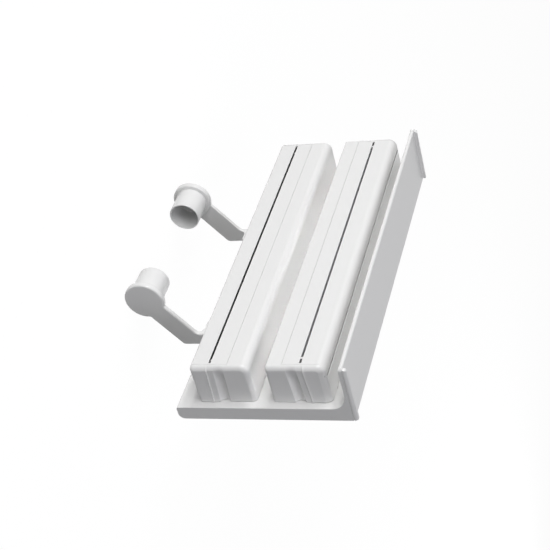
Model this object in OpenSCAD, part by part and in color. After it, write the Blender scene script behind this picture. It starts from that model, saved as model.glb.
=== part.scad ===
// Wall-mounted kitchen dispenser: a back plate with a shelf, two hinged boxes for rolls of film and
// foil, and two arms below that slide apart to take a roll of kitchen paper.
// Frame: the origin is on the wall, midway between the four wall screws. +X runs to the right for
// someone who faces the wall, +Y goes into the wall and +Z is up.

/* [Back plate] */
// Length of the back plate along the wall
plate_l = 370; // [360:1:420]
// Depth of the back plate from the wall to its front face
plate_t = 14; // [13:0.5:18]
// Wall thickness of the back plate
plate_wall = 2.6; // [2:0.1:2.8]
// Thickness of the lower edge, which the arms hang from
edge_t = 5; // [4.5:0.5:7]
// Radius of the lower edge at the wall
edge_back_r = 6; // [4:0.5:6.5]
// Radius of the lower edge at the front
edge_front_r = 2; // [1:0.5:2.5]
// Height of the plate below the lower box
plate_margin = 22; // [18:1:34]
// Thickness of the ribs behind the plate
rib_t = 2; // [1.5:0.1:3]
// Distance of the upright ribs from the middle of the plate
rib_x = 60; // [40:1:80]

/* [Shelf] */
// Depth of the shelf from the wall
shelf_d = 62; // [50:1:80]
// Thickness of the shelf
shelf_t = 4; // [3:0.5:6]
// Room between the upper box and the shelf
shelf_gap = 15; // [15:1:30]
// Radius of the hollow between plate and shelf
shelf_fillet = 15; // [6:1:15]
// Radius of the shelf's front corners, seen from above
shelf_corner_r = 4; // [2:0.5:8]
// Height of the rim at each end of the shelf
rim_h = 3; // [2:0.5:6]
// Width of that rim
rim_w = 4.5; // [4:0.5:8]
// Radius of the rim's outer edge
rim_r = 3; // [2:0.5:3]
// Width and depth of the line under that rim, on the ends of the plate
rim_line = 0.8; // [0.4:0.1:1.2]

/* [Boxes] */
// Height of each box up the wall
box_w = 55.5; // [52:0.5:70]
// Depth of each box in front of the plate
box_h = 42.5; // [40:0.5:52]
// Distance of each box's ends from the ends of the plate
box_inset = 6.75; // [6:0.25:15]
// Gap between the two boxes
box_gap = 16; // [14:1:24]
// Wall thickness of trays and lids
skin = 2.2; // [1.8:0.1:2.2]
// Radius of a box's upper front edge
top_r = 8; // [4:0.5:9]
// Radius of a box's lower front edge
low_r = 2.5; // [2.5:0.5:6]
// Least radius of the corners inside a box
inner_r = 0.3; // [0.2:0.1:0.5]
// How much further from the hinge side the upper box's slit, lid edge, step and groove lie
upper_shift = 4.6; // [0:0.2:5]
// Width and height of the shadow groove round a box's foot
reveal = 1; // [0.6:0.1:1.5]

/* [End caps] */
// Thickness of an end cap
cap_t = 5.5; // [5:0.5:8]
// Radius of an end cap's outer edges
cap_edge_r = 4; // [2:0.5:4.5]
// Height of the step on the outer face of an end cap
step_h = 0.7; // [0.4:0.1:1]
// Distance of that step from the box's hinge side, at the front
step_u = 16.3; // [12:0.1:18]
// Distance of the finger groove's middle from the hinge side, at the front
groove_u = 27.2; // [26:0.1:29]
// Width of the finger groove
groove_w = 10; // [8:0.5:11]
// Depth of the finger groove
groove_d = 3; // [2:0.1:3.2]
// Lean of the step and the groove, towards the hinge side at the plate, in degrees
cap_lean = 3; // [0:0.5:5]
// Length of the tongues that enter the tray
tongue_l = 6; // [4:0.5:9]
// Height of the tongue along the far wall
tongue_h = 27; // [15:1:30]

/* [Lids] */
// Height of the tray wall under the hinge
low_wall = 28; // [24:0.5:29]
// Thickness of that wall's lip, under the hinge
hinge_lip = 0.6; // [0.4:0.1:1.2]
// Height of the bevel inside that lip
hinge_bevel = 3; // [1:0.5:5]
// Gap between that wall and the lid's hinge bead
hinge_gap = 0.9; // [0.8:0.1:1.4]
// Radius of the hinge bead
bead_r = 2.2; // [2:0.1:2.5]
// Radius of the hinge pins
pin_r = 1.1; // [0.9:0.05:1.2]
// Length of a hinge pin inside the lid
pin_reach = 9; // [6:0.5:14]
// Length of a hinge pin inside the end cap
pin_seat = 3.2; // [2.5:0.1:3.5]
// Running clearance of the hinge pins, on the radius
pin_play = 0.05; // [0.02:0.01:0.09]
// Distance from the hinge side to the lid's free edge
seam_u = 35.5; // [34.5:0.5:37]
// Gap at the lid's free edge
seam_gap = 0.3; // [0.3:0.1:0.8]
// Gap between the lid's ends and the end caps
lid_gap = 0.2; // [0.2:0.05:0.4]
// Distance from the hinge side to the middle of the film slit
slit_u = 18.4; // [16:0.2:20]
// Width of the film slit
slit_w = 2; // [1.6:0.1:3]
// Distance of the slit's ends from the ends of the lid
slit_end = 2; // [1.8:0.1:8]
// How much wider the slit is inside, on each side
slit_flare = 1.2; // [0.2:0.1:1.4]
// Distance of the bridges across the slit from the ends of the lid
bridge_inset = 9.4; // [6:0.2:14]
// Length of a bridge along the slit
bridge_l = 2.4; // [1.6:0.2:6]
// Height of a bridge under the lid's skin
bridge_h = 3; // [2:0.1:3]
// Depth of the upper box's bridges below the front of its lid
bridge_drop = 0.6; // [0.3:0.1:2]
// Depth of the lower box's bridges below the inside of its lid
bridge_relief = 1.6; // [0.4:0.1:1.6]
// Height of the ribs under a lid
lid_rib_h = 2.4; // [1.5:0.1:2.8]
// Thickness of those ribs
lid_rib_t = 1.8; // [1.2:0.1:2]
// Distance of the first rib and of the bridges' sides from the slit
slit_margin = 5.4; // [4:0.2:6]
// Thickness of the tray's lip under the lid's free edge
lip_t = 1.6; // [1.2:0.1:2]
// Reach of that lip under the lid
lip_in = 1.5; // [1:0.1:2]
// Reach of that lip under the tray's front
lip_out = 3; // [2:0.1:4]
// Gap between that lip and the closed lid
rest_gap = 0.3; // [0.2:0.1:0.5]
// Gap between that lip and the nearest rib
lip_gap = 1; // [0.6:0.1:1.5]
// Depth of a pin's bore beyond the pin
bore_room = 1; // [0.5:0.1:2]

/* [Cutters] */
// Width of a cutter strip without its teeth
cutter_w = 9; // [8:0.5:10]
// Thickness of a cutter strip
cutter_t = 0.6; // [0.4:0.1:0.8]
// Pitch of the teeth
tooth_pitch = 3; // [2:0.5:4]
// Height of the teeth
tooth_h = 1.2; // [0.8:0.1:1.4]
// How far the teeth reach into the slit
tooth_show = 0.6; // [0.2:0.1:1]
// Gap between a cutter and the bridges
cutter_gap = 1.5; // [1:0.1:3]
// Radius of the rivets that hold a cutter
rivet_r = 1.2; // [1:0.1:1.5]
// Distance of the outer rivets from the ends of a cutter
rivet_inset = 11; // [6:0.5:20]
// Distance of the rivets from the foot of the teeth
rivet_back = 5.2; // [4:0.1:5.6]
// Depth of a rivet in the lid
rivet_seat = 1.4; // [1:0.1:1.5]
// Radius of a rivet's head
rivet_head_r = 2; // [1.7:0.1:2.2]
// Height of a rivet's head
rivet_head_h = 0.9; // [0.5:0.1:1]

/* [Trays] */
// Radius of the cradle ribs, for the roll that lies in a tray
cradle_r = 17.5; // [14:0.5:18]
// Height of the cradle ribs
cradle_h = 15; // [13:0.5:18]
// Distance from the hinge side to the middle of the cradle
cradle_u = 19.4; // [19:0.2:24]
// Distance of the inner cradle ribs from the middle of the tray
cradle_mid = 41; // [20:1:60]
// Distance of the outer cradle ribs from the ends of the tray
cradle_inset = 17; // [12:1:24]
// Radius of the tray screws
tray_screw_r = 1.5; // [1.25:0.25:1.5]
// Radius of the head of a tray screw
tray_head_r = 2.8; // [2.5:0.1:3.2]
// Height of the head of a tray screw
tray_head_h = 1.8; // [1.5:0.1:2.2]
// Distance of the tray screws from the sides of a box
tray_screw_edge = 8; // [7:0.5:9]
// Distance of the outer tray screws beyond the wall screws
tray_screw_off = 18; // [12:0.5:24]
// Height of the screw bosses in a tray, above its floor
tray_boss_h = 6; // [5:0.5:7]
// Radius of those bosses
tray_boss_r = 3.5; // [3:0.1:4]
// Room left under the tip of any screw
tip_room = 1.2; // [0.8:0.1:1.5]

/* [Wall screws] */
// Distance between the wall screws along the wall
screw_x = 240; // [200:1:250]
// Distance of the wall screws from a box's hinge side
screw_u = 16; // [15:0.5:18]
// Radius of the wall screw holes
screw_r = 2.6; // [2:0.1:3]
// Radius of the bosses round those holes
boss_r = 7; // [5:0.5:8]
// Radius of the access holes in the tray floors
access_r = 6.5; // [5:0.5:7]

/* [Rear cover] */
// Thickness of the rear cover
cover_t = 2; // [1.6:0.1:2.4]
// Radius of the cover screws
cover_screw_r = 1.25; // [1:0.25:1.25]
// Radius of the head of a cover screw
cover_head_r = 2.6; // [2.2:0.1:3]
// Depth of a cover screw's hole in its boss
cover_bite = 7; // [5:0.5:8]
// Radius of the bosses for the cover screws
cover_boss_r = 3.6; // [3:0.1:4]
// Room between those bosses and the walls of the plate
cover_boss_gap = 4; // [2:0.5:6]
// Room between the lower bosses and the rail over the shoes
rail_boss_gap = 1; // [0.5:0.5:3]

/* [Arms] */
// Distance between the outer faces of the two arms, pushed together
arm_span = 168; // [160:1:190]
// Travel of each arm along its slot
arm_travel = 85; // [50:1:85]
// Distance of the roll's axis from the wall
arm_out = 56.3; // [50:0.5:65]
// Distance of the roll's axis below the plate
arm_drop = 53.5; // [48:0.5:65]
// Distance below the plate at which an arm bends
bend_drop = 18.7; // [17:0.1:24]
// Radius of an arm's bend, on the wall's side
bend_r = 5; // [1:0.5:6]
// Radius of the hollow of an arm's bend, in front
bend_hollow = 6; // [2:0.5:8]
// Width of an arm
strap_w = 21.8; // [18:0.2:23]
// Thickness of an arm
strap_t = 4.5; // [3.5:0.1:6]
// Depth of an arm's root, from front to wall
root_d = 13.4; // [12:0.1:13.5]
// Radius of the disc that the roll's end runs against
disc_r = 20; // [18:0.5:26]
// Thickness of that disc
disc_t = 6.5; // [5:0.5:8]
// Radius of the disc's edges
disc_rim_r = 1.4; // [0.8:0.1:2]
// Radius of the plug that enters the roll's core
plug_r = 15.9; // [14:0.1:17]
// Length of the plug
plug_l = 27; // [18:0.5:30]
// Wall thickness of the plug
plug_wall = 1.5; // [1.2:0.1:2.5]

/* [Arm feet] */
// Length of the foot along the wall
foot_l = 19; // [17:0.5:24]
// Thickness of the foot
foot_t = 4.5; // [3:0.5:6]
// Radius of the hollow between foot and arm
foot_fillet = 6; // [3:0.5:8]
// Length of the neck that passes through the slot
neck_l = 12; // [9:0.5:14]
// Depth of the neck, from front to wall
neck_d = 5.8; // [5:0.1:6]
// Length of the shoe that runs inside the plate
shoe_l = 26; // [20:0.5:30]
// Height of the shoe
shoe_h = 6.8; // [6.4:0.1:8]
// Height of the shoe's roof, above the neck
roof_h = 3.6; // [3.2:0.1:4]
// Reach of the rail over the shoe, beyond the shoe at rest
rail_lead = 6; // [2:0.5:10]
// Radius of the shoe screws
shoe_screw_r = 1.25; // [1:0.25:1.25]
// Radius of the head of a shoe screw
shoe_head_r = 2.6; // [2.2:0.1:3]
// Height of the head of a shoe screw
shoe_head_h = 1.7; // [1.4:0.1:2]
// Depth of a shoe screw's hole in the neck
shoe_bite = 8.5; // [6:0.5:8.5]

/* [Clearances] */
// Clearance between pieces that are fixed together
fit_gap = 0.2; // [0.1:0.05:0.3]
// Clearance between pieces that move past each other
run_gap = 0.3; // [0.2:0.05:0.4]

/* [Hidden] */
$fn = 96;

white_plastic = "#f1f1ee";
inner_plastic = "#dcdcd8";
steel = "#b9bcc0";
// Overlap of solids that join, and reach of cuts past a face
eps = 0.01;
past = 1;
// Size of a screw's hexagon socket, as shares of its shank's radius and its head's height
socket_of_shank = 0.85;
socket_of_head = 0.6;

// Heights on the wall, and the length of a box over its end caps
box_l = plate_l - 2 * box_inset;
box_out = box_gap / 2 + box_w;
plate_low = -box_out - plate_margin;
shelf_under = box_out + shelf_gap;
shelf_top = shelf_under + shelf_t;

// Back plate
cavity_y = -plate_t + plate_wall;
cavity_low = plate_low + edge_t;
cavity_depth = plate_t - plate_wall;
screw_z = box_out - screw_u;
cover_head_h = cover_head_r - cover_screw_r;
cover_boss_x = plate_l / 2 - plate_wall - cover_boss_r - cover_boss_gap;
cover_boss_top = shelf_under - cover_boss_r - cover_boss_gap;
cover_boss_low = cavity_low + shoe_h + 2 * run_gap + rib_t + cover_boss_r + rail_boss_gap;

// Boxes, in their own frame: u across from the hinge side, v out from the plate, w along the length
tray_l = box_l - 2 * cap_t;
lid_l = tray_l - 2 * lid_gap;
slit_l = lid_l - 2 * slit_end;
hinge_u = bead_r;
hinge_v = low_wall + hinge_gap + bead_r;
ceiling = box_h - skin;
bridge_u = slit_u - slit_w / 2 - slit_margin;
bridge_x = lid_l / 2 - bridge_inset;
lip_v = ceiling - rest_gap - lip_t;
cradle_v = skin + tray_boss_h + cradle_r;
cradle_x = [cradle_mid, tray_l / 2 - cradle_inset];
tray_bite = skin + tray_boss_h - tip_room;
tray_screw_u = [tray_screw_edge, box_w - tray_screw_edge];
tray_screw_x = [-1, 0, 1] * (screw_x / 2 + tray_screw_off);

// Cutters
cutter_l = 2 * bridge_x - bridge_l - 2 * cutter_gap;
tooth_tip_u = slit_u + slit_w / 2 - tooth_show;
tooth_root_u = tooth_tip_u + tooth_h;
teeth = floor(cutter_l / tooth_pitch);
rivet_u = tooth_root_u + rivet_back;
rivet_x = [-1, -0.5, 0, 0.5, 1] * (cutter_l / 2 - rivet_inset);

// Arms, right-hand side at rest
arm_x = arm_span / 2;
foot_x = arm_x - foot_l;
neck_x = foot_x + (foot_l - neck_l) / 2;
slot_y = cavity_y;
neck_y = slot_y + run_gap;
slot_d = neck_d + 2 * run_gap;
shoe_x = neck_x + neck_l / 2 - shoe_l / 2;
shoe_low = cavity_low + run_gap;
shoe_d = cavity_depth - cover_t - 2 * run_gap;
neck_top = shoe_low + shoe_h - roof_h;
root_front = -plate_t / 2 - root_d / 2;
root_back = -plate_t / 2 + root_d / 2;
axis_y = -arm_out;
axis_z = plate_low - arm_drop;
bend_z = plate_low - bend_drop;
strap_angle = atan2(axis_z - bend_z, axis_y + plate_t / 2);
foot_top = plate_low - run_gap;
rail_end = plate_l / 2 - plate_wall;
shoe_screw_x = neck_x + neck_l / 2;
shoe_screw_y = neck_y + neck_d / 2;

// A line through the middle of the strap, moved sideways by off: its height at the depth y
function strap_edge_z(y, off) =
    bend_z + (y + plate_t / 2) * tan(strap_angle) + off / cos(strap_angle);

// Shapes for all pieces

// Extrudes a (y, z) outline along X, about the middle of the part
module along_x(l) {
    rotate([90, 0, 90])
        linear_extrude(l, center = true)
            children();
}

// A hole or peg along Y, from the depth y over the length l
module along_y(x, y, z, r, l) {
    translate([x, y, z])
        rotate([-90, 0, 0])
            cylinder(r = r, h = l);
}

// Puts a solid given in a box's own (u, v, w) frame on the plate. The upper box is the lower one's mirror
module on_box(upper) {
    mirror([0, 0, upper ? 1 : 0])
        translate([0, -plate_t, -box_out])
            rotate(180, [1, 0, 1])
                children();
}

// A rectangle whose two front corners are round: ra at u = 0 and rb at u = w
module front_rounded(w, h, ra, rb) {
    square([w, h - max(ra, rb)]);
    translate([ra, 0])
        square([w - ra - rb, h]);
    square([ra, h - ra]);
    translate([w - rb, 0])
        square([rb, h - rb]);
    translate([ra, h - ra])
        circle(ra);
    translate([w - rb, h - rb])
        circle(rb);
}

// What differs between the boxes: how far the lid's lines move from the hinge side, and the corners
function shift(upper) = upper ? upper_shift : 0;
function hinge_corner(upper) = upper ? top_r : low_r;
function far_corner(upper) = upper ? low_r : top_r;

// Outer outline of a box, in (u, v)
module box_outline(upper) {
    front_rounded(box_w, box_h, hinge_corner(upper), far_corner(upper));
}

// The box's wall: its outline without the room inside
module box_wall(upper) {
    difference() {
        box_outline(upper);
        translate([skin, skin])
            front_rounded(box_w - 2 * skin, box_h - 2 * skin,
                max(hinge_corner(upper) - skin, inner_r), max(far_corner(upper) - skin, inner_r));
    }
}

// What is taken off round a box's foot, to leave a shadow groove
module foot_groove() {
    difference() {
        translate([-past, -past, -box_l / 2 - past])
            cube([box_w + 2 * past, past + reveal, box_l + 2 * past]);
        translate([reveal, -2 * past, -box_l / 2 + reveal])
            cube([box_w - 2 * reveal, reveal + 4 * past, box_l - 2 * reveal]);
    }
}

// A screw along +Y whose head starts at y = 0 and whose shank is l long
module pan_screw(r, l, head_r, head_h) {
    rotate([-90, 0, 0]) {
        translate([0, 0, -head_h])
            difference() {
                cylinder(r = head_r, h = head_h);
                translate([0, 0, -past])
                    cylinder(r = r * socket_of_shank, h = past + head_h * socket_of_head, $fn = 6);
            }
        translate([0, 0, -eps])
            cylinder(r = r, h = l + eps);
    }
}

// Back plate and shelf

// Section of the plate, in (y, z)
module plate_section() {
    translate([-plate_t, plate_low + edge_back_r])
        square([plate_t, shelf_top - plate_low - edge_back_r]);
    translate([-plate_t + edge_front_r, plate_low])
        square([plate_t - edge_front_r - edge_back_r, edge_back_r + eps]);
    translate([-plate_t, plate_low + edge_front_r])
        square([edge_front_r + eps, edge_back_r]);
    translate([-plate_t + edge_front_r, plate_low + edge_front_r])
        circle(edge_front_r);
    translate([-edge_back_r, plate_low + edge_back_r])
        circle(edge_back_r);
}

// Section of the shelf with its round nose and the hollow below it, in (y, z)
module shelf_section() {
    nose_r = shelf_t / 2;
    translate([-shelf_d + nose_r, shelf_under])
        square([shelf_d - nose_r, shelf_t]);
    translate([-shelf_d + nose_r, shelf_under + nose_r])
        circle(nose_r);
    difference() {
        translate([-plate_t - shelf_fillet, shelf_under - shelf_fillet])
            square(shelf_fillet + eps);
        translate([-plate_t - shelf_fillet, shelf_under - shelf_fillet])
            circle(shelf_fillet);
    }
}

// Side view of a shelf rim, in (y, z)
module rim_section() {
    front = -shelf_d + shelf_t / 2;
    translate([front + rim_h, shelf_top - eps])
        square([-front - rim_h, rim_h + eps]);
    intersection() {
        translate([front + rim_h, shelf_top])
            circle(rim_h);
        translate([front, shelf_top - eps])
            square([rim_h + eps, rim_h + eps]);
    }
}

// What rounds the outer edge of the rim at the right-hand end
module rim_rounding() {
    cx = plate_l / 2 - rim_r;
    cz = shelf_top + rim_h - rim_r;
    translate([0, past, 0])
        rotate([90, 0, 0])
            linear_extrude(shelf_d + 2 * past)
                difference() {
                    translate([cx, cz])
                        square(rim_r + past);
                    translate([cx, cz])
                        circle(rim_r);
                }
}

// Outline of the shelf from above, with round front corners
module shelf_plan() {
    rotate(180)
        translate([-plate_l / 2, -past])
            front_rounded(plate_l, shelf_d + past, shelf_corner_r, shelf_corner_r);
}

// The line under the rim, on the right-hand end of the plate
module rim_groove() {
    translate([plate_l / 2 - rim_line, -shelf_d - past, shelf_top - rim_line])
        cube([rim_line + past, shelf_d + 2 * past, rim_line]);
}

// The slot in the lower edge and the rib over it, for one arm on the right-hand side
module arm_slot() {
    translate([neck_x - run_gap, slot_y, plate_low - past])
        cube([neck_l + arm_travel + 2 * run_gap, slot_d, edge_t + 2 * past]);
}

module arm_rail() {
    start = shoe_x - rail_lead;
    translate([start, cavity_y - eps, shoe_low + shoe_h + run_gap])
        cube([rail_end - start + eps, cavity_depth - cover_t - fit_gap, rib_t]);
}

module back_plate() {
    color(white_plastic)
        difference() {
            union() {
                difference() {
                    intersection() {
                        union() {
                            along_x(plate_l) {
                                plate_section();
                                shelf_section();
                            }
                            for (s = [-1, 1])
                                translate([s * (plate_l - rim_w) / 2, 0, 0])
                                    along_x(rim_w)
                                        rim_section();
                        }
                        translate([0, 0, plate_low - past])
                            linear_extrude(shelf_top - plate_low + rim_h + 2 * past)
                                shelf_plan();
                    }
                    for (s = [0, 1])
                        mirror([s, 0, 0]) {
                            rim_rounding();
                            rim_groove();
                        }
                    translate([-plate_l / 2 + plate_wall, cavity_y, cavity_low])
                        cube([plate_l - 2 * plate_wall, plate_t, shelf_under - cavity_low]);
                }
                for (x = [-1, 1] * screw_x / 2, z = [-1, 1] * screw_z)
                    along_y(x, cavity_y - eps, z, boss_r, cavity_depth + eps);
                at_cover_screws()
                    along_y(0, cavity_y - eps, 0, cover_boss_r, cavity_depth - cover_t + eps);
                for (x = [-1, 1] * rib_x)
                    translate([x - rib_t / 2, cavity_y - eps, cover_boss_low])
                        cube([rib_t, cavity_depth - cover_t - fit_gap, shelf_under - cover_boss_low + eps]);
                for (s = [0, 1])
                    mirror([s, 0, 0])
                        arm_rail();
            }
            for (x = [-1, 1] * screw_x / 2, z = [-1, 1] * screw_z)
                along_y(x, -plate_t - past, z, screw_r, plate_t + 2 * past);
            for (x = tray_screw_x, u = tray_screw_u, s = [-1, 1])
                along_y(x, -plate_t - past, s * (box_out - u), tray_screw_r + fit_gap, plate_wall + 2 * past);
            at_cover_screws()
                along_y(0, -cover_t - cover_bite, 0, cover_screw_r, cover_bite + past);
            for (s = [0, 1])
                mirror([s, 0, 0])
                    arm_slot();
        }
}

// Rear cover

// Puts a solid at each cover screw
module at_cover_screws() {
    for (x = [-1, 0, 1] * cover_boss_x, z = [cover_boss_low, cover_boss_top])
        translate([x, 0, z])
            children();
}

module cover_screw() {
    rotate([90, 0, 0]) {
        difference() {
            cylinder(r1 = cover_head_r, r2 = cover_screw_r, h = cover_head_h);
            translate([0, 0, -past])
                cylinder(
                    r = cover_screw_r * socket_of_shank, h = past + cover_head_h * socket_of_head, $fn = 6);
        }
        translate([0, 0, cover_head_h - eps])
            cylinder(r = cover_screw_r, h = cover_t + cover_bite - tip_room - cover_head_h + eps);
    }
}

module rear_cover() {
    color(inner_plastic)
        difference() {
            translate([-plate_l / 2 + plate_wall + fit_gap, -cover_t, cavity_low + fit_gap])
                cube([plate_l - 2 * (plate_wall + fit_gap), cover_t, shelf_under - cavity_low - 2 * fit_gap]);
            for (x = [-1, 1] * screw_x / 2, z = [-1, 1] * screw_z)
                along_y(x, -cover_t - past, z, boss_r + fit_gap, cover_t + 2 * past);
            at_cover_screws()
                rotate([90, 0, 0]) {
                    translate([0, 0, -past])
                        cylinder(r = cover_screw_r + fit_gap, h = cover_t + 2 * past);
                    cylinder(r1 = cover_head_r, r2 = cover_screw_r, h = cover_head_h);
                }
        }
}

module cover_screws() {
    color(steel)
        at_cover_screws()
            cover_screw();
}

// Trays

// Section of a tray, in (u, v): floor, low wall, far wall, front ledge and the lip under the lid
module tray_section(upper) {
    seam = seam_u + shift(upper);
    difference() {
        box_wall(upper);
        translate([-past, low_wall])
            square([seam + past, box_h]);
        polygon([
            [hinge_lip, low_wall],
            [skin, low_wall - hinge_bevel],
            [skin + past, low_wall - hinge_bevel],
            [skin + past, low_wall + past],
            [hinge_lip, low_wall + past]]);
    }
    translate([seam - lip_in, lip_v])
        square([lip_in + lip_out, lip_t]);
    translate([seam, lip_v])
        square([lip_out, ceiling - lip_v + eps]);
}

// A rib that the roll lies on, in (u, v)
module cradle_section() {
    difference() {
        translate([skin - eps, skin - eps])
            square([box_w - 2 * skin + 2 * eps, cradle_h]);
        translate([cradle_u, cradle_v])
            circle(cradle_r);
    }
}

module tray(upper) {
    color(white_plastic)
        on_box(upper)
            difference() {
                union() {
                    difference() {
                        linear_extrude(tray_l, center = true)
                            tray_section(upper);
                        foot_groove();
                    }
                    for (x = cradle_x, s = [-1, 1])
                        translate([0, 0, s * x])
                            linear_extrude(rib_t, center = true)
                                cradle_section();
                    for (x = tray_screw_x, u = tray_screw_u)
                        along_y(u, skin - eps, x, tray_boss_r, tray_boss_h + eps);
                }
                for (x = tray_screw_x, u = tray_screw_u)
                    along_y(u, -past, x, tray_screw_r, past + tray_bite);
                for (x = [-1, 1] * screw_x / 2)
                    along_y(screw_u, -past, x, access_r, skin + 2 * past);
            }
}

module tray_screws(upper) {
    color(steel)
        on_box(upper)
            for (x = tray_screw_x, u = tray_screw_u)
                translate([u, -plate_wall, x])
                    pan_screw(tray_screw_r, plate_wall + tray_bite, tray_head_r, tray_head_h);
}

// End caps

// A cap at the right-hand end of a box, from the end of the tray outwards, with all outer edges round
module cap_body(upper) {
    intersection() {
        translate([0, 0, tray_l / 2])
            linear_extrude(cap_t)
                box_outline(upper);
        translate([0, box_h + past, 0])
            rotate([90, 0, 0])
                linear_extrude(box_h + 2 * past)
                    front_rounded(box_w, box_l / 2, cap_edge_r, cap_edge_r);
        translate([-past, 0, 0])
            rotate([90, 0, 90])
                linear_extrude(box_w + 2 * past)
                    translate([-past, 0])
                        front_rounded(box_h + past, box_l / 2, inner_r, cap_edge_r);
    }
}

// What rolls a cap's outer edge over at the box's large front corner
module corner_roll(upper) {
    translate([upper ? top_r : box_w - top_r, box_h - top_r, box_l / 2 - cap_edge_r])
        intersection() {
            rotate_extrude()
                difference() {
                    translate([top_r - cap_edge_r, 0])
                        square(cap_edge_r + past);
                    translate([top_r - cap_edge_r, 0])
                        circle(cap_edge_r);
                }
            translate([upper ? -top_r - past : 0, 0, -past])
                cube([top_r + past, top_r + past, cap_edge_r + 3 * past]);
        }
}

// The tongues that close a tray's end along its floor and its far wall
module cap_tongues() {
    t = skin;
    low = skin + fit_gap;
    far = box_w - skin - fit_gap;
    translate([low, low, tray_l / 2 - tongue_l])
        cube([far - low, t, tongue_l + eps]);
    translate([far - t, low, tray_l / 2 - tongue_l])
        cube([t, tongue_h, tongue_l + eps]);
}

// What lies beyond the step on a cap's outer face, in (u, v). The step's line leans to the hinge side
module beyond_step(upper) {
    u = step_u + shift(upper);
    polygon([
        [u - (box_h + past) * tan(cap_lean), -past],
        [box_w + past, -past],
        [box_w + past, box_h + past],
        [u + past * tan(cap_lean), box_h + past]]);
}

module right_cap(upper) {
    groove_r = (groove_w * groove_w / 4 + groove_d * groove_d) / (2 * groove_d);
    color(white_plastic)
        on_box(upper)
            difference() {
                union() {
                    cap_body(upper);
                    cap_tongues();
                }
                foot_groove();
                corner_roll(upper);
                translate([0, 0, box_l / 2 - step_h])
                    linear_extrude(past + step_h)
                        beyond_step(upper);
                translate([groove_u + shift(upper), box_h, box_l / 2 - step_h - groove_d + groove_r])
                    rotate(-cap_lean)
                        along_y(0, -2 * box_h, 0, groove_r, 3 * box_h);
                translate([hinge_u, hinge_v, tray_l / 2 - past])
                    cylinder(r = pin_r, h = past + pin_seat);
            }
}

module left_cap(upper) {
    mirror([1, 0, 0])
        right_cap(upper);
}

module hinge_pins(upper) {
    color(steel)
        on_box(upper)
            for (s = [0, 1])
                mirror([0, 0, s])
                    translate([hinge_u, hinge_v, lid_l / 2 - pin_reach])
                        cylinder(r = pin_r, h = tray_l / 2 + pin_seat - lid_l / 2 + pin_reach);
}

// Lids

// Section of a lid, in (u, v): hinge bead, front corner and front up to the free edge
module lid_section(upper) {
    intersection() {
        box_wall(upper);
        translate([-past, hinge_v])
            square([seam_u + shift(upper) - seam_gap + past, box_h]);
    }
    translate([hinge_u, hinge_v])
        circle(bead_r);
}

// Ribs under a lid, in (u, v): one beside the front corner and one near the free edge
module lid_ribs() {
    for (u = [bridge_u, seam_u - lip_in - lip_gap - lid_rib_t])
        translate([u, ceiling - lid_rib_h])
            square([lid_rib_t, lid_rib_h + eps]);
}

// What stiffens a lid from below: its ribs, and the bridges under the slit
module lid_stiffeners() {
    linear_extrude(lid_l, center = true)
        lid_ribs();
    for (s = [-1, 1])
        translate([bridge_u, ceiling - bridge_h, s * bridge_x - bridge_l / 2])
            cube([2 * (slit_u - bridge_u), bridge_h + eps, bridge_l]);
}

// The webs that rise from the upper lid's bridges into its slit
module slit_webs() {
    w = slit_w + 2 * slit_flare;
    for (s = [-1, 1])
        translate([slit_u - w / 2, ceiling - eps, s * bridge_x - bridge_l / 2])
            cube([w, skin - bridge_drop + eps, bridge_l]);
}

// Section of the slit, in (u, v): it opens towards the inside, so that its lips are thin
module slit_section() {
    half = slit_w / 2;
    polygon([
        [slit_u - half - slit_flare, ceiling],
        [slit_u + half + slit_flare, ceiling],
        [slit_u + half, box_h],
        [slit_u + half, box_h + past],
        [slit_u - half, box_h + past],
        [slit_u - half, box_h]]);
}

// The room over the lower lid's bridges, in (u, v)
module relief_section() {
    half = slit_w / 2 + slit_flare;
    translate([slit_u - half, ceiling - bridge_relief])
        square([2 * half, bridge_relief + eps]);
}

// What is cut from a lid's front: the slit, the room over the lower lid's bridges and the rivets' seats
module lid_cuts(upper) {
    linear_extrude(slit_l, center = true) {
        slit_section();
        if (!upper)
            relief_section();
    }
    for (x = rivet_x)
        along_y(rivet_u, ceiling - eps, x, rivet_r, rivet_seat + eps);
}

module lid(upper) {
    color(white_plastic)
        on_box(upper)
            union() {
                difference() {
                    union() {
                        linear_extrude(lid_l, center = true)
                            lid_section(upper);
                        translate([shift(upper), 0, 0])
                            lid_stiffeners();
                    }
                    translate([shift(upper), 0, 0])
                        lid_cuts(upper);
                    for (s = [0, 1])
                        mirror([0, 0, s])
                            translate([hinge_u, hinge_v, lid_l / 2 - pin_reach - bore_room])
                                cylinder(r = pin_r + pin_play, h = pin_reach + bore_room + past);
                }
                if (upper)
                    translate([shift(upper), 0, 0])
                        slit_webs();
            }
}

// Cutters

// Outline of a cutter strip, in (w, u): a plain back edge and a row of teeth
module cutter_outline() {
    back = tooth_root_u + cutter_w;
    half = teeth * tooth_pitch / 2;
    polygon(concat(
        [[half, back], [-half, back], [-half, tooth_root_u]],
        [for (i = [0:teeth - 1]) each [
            [-half + (i + 0.5) * tooth_pitch, tooth_tip_u],
            [-half + (i + 1) * tooth_pitch, tooth_root_u]]]));
}

module cutter(upper) {
    color(steel)
        on_box(upper)
            translate([shift(upper), ceiling, 0])
                difference() {
                    rotate([90, 0, 0])
                        linear_extrude(cutter_t)
                            rotate(90)
                                mirror([0, 1])
                                    cutter_outline();
                    for (x = rivet_x)
                        along_y(rivet_u, -cutter_t - past, x, rivet_r, cutter_t + 2 * past);
                }
}

module cutter_rivets(upper) {
    color(steel)
        on_box(upper)
            translate([shift(upper), ceiling - cutter_t, 0])
                for (x = rivet_x) {
                    along_y(rivet_u, -rivet_head_h, x, rivet_head_r, rivet_head_h);
                    along_y(rivet_u, -eps, x, rivet_r, cutter_t + rivet_seat + eps);
                }
}

// Arms

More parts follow.
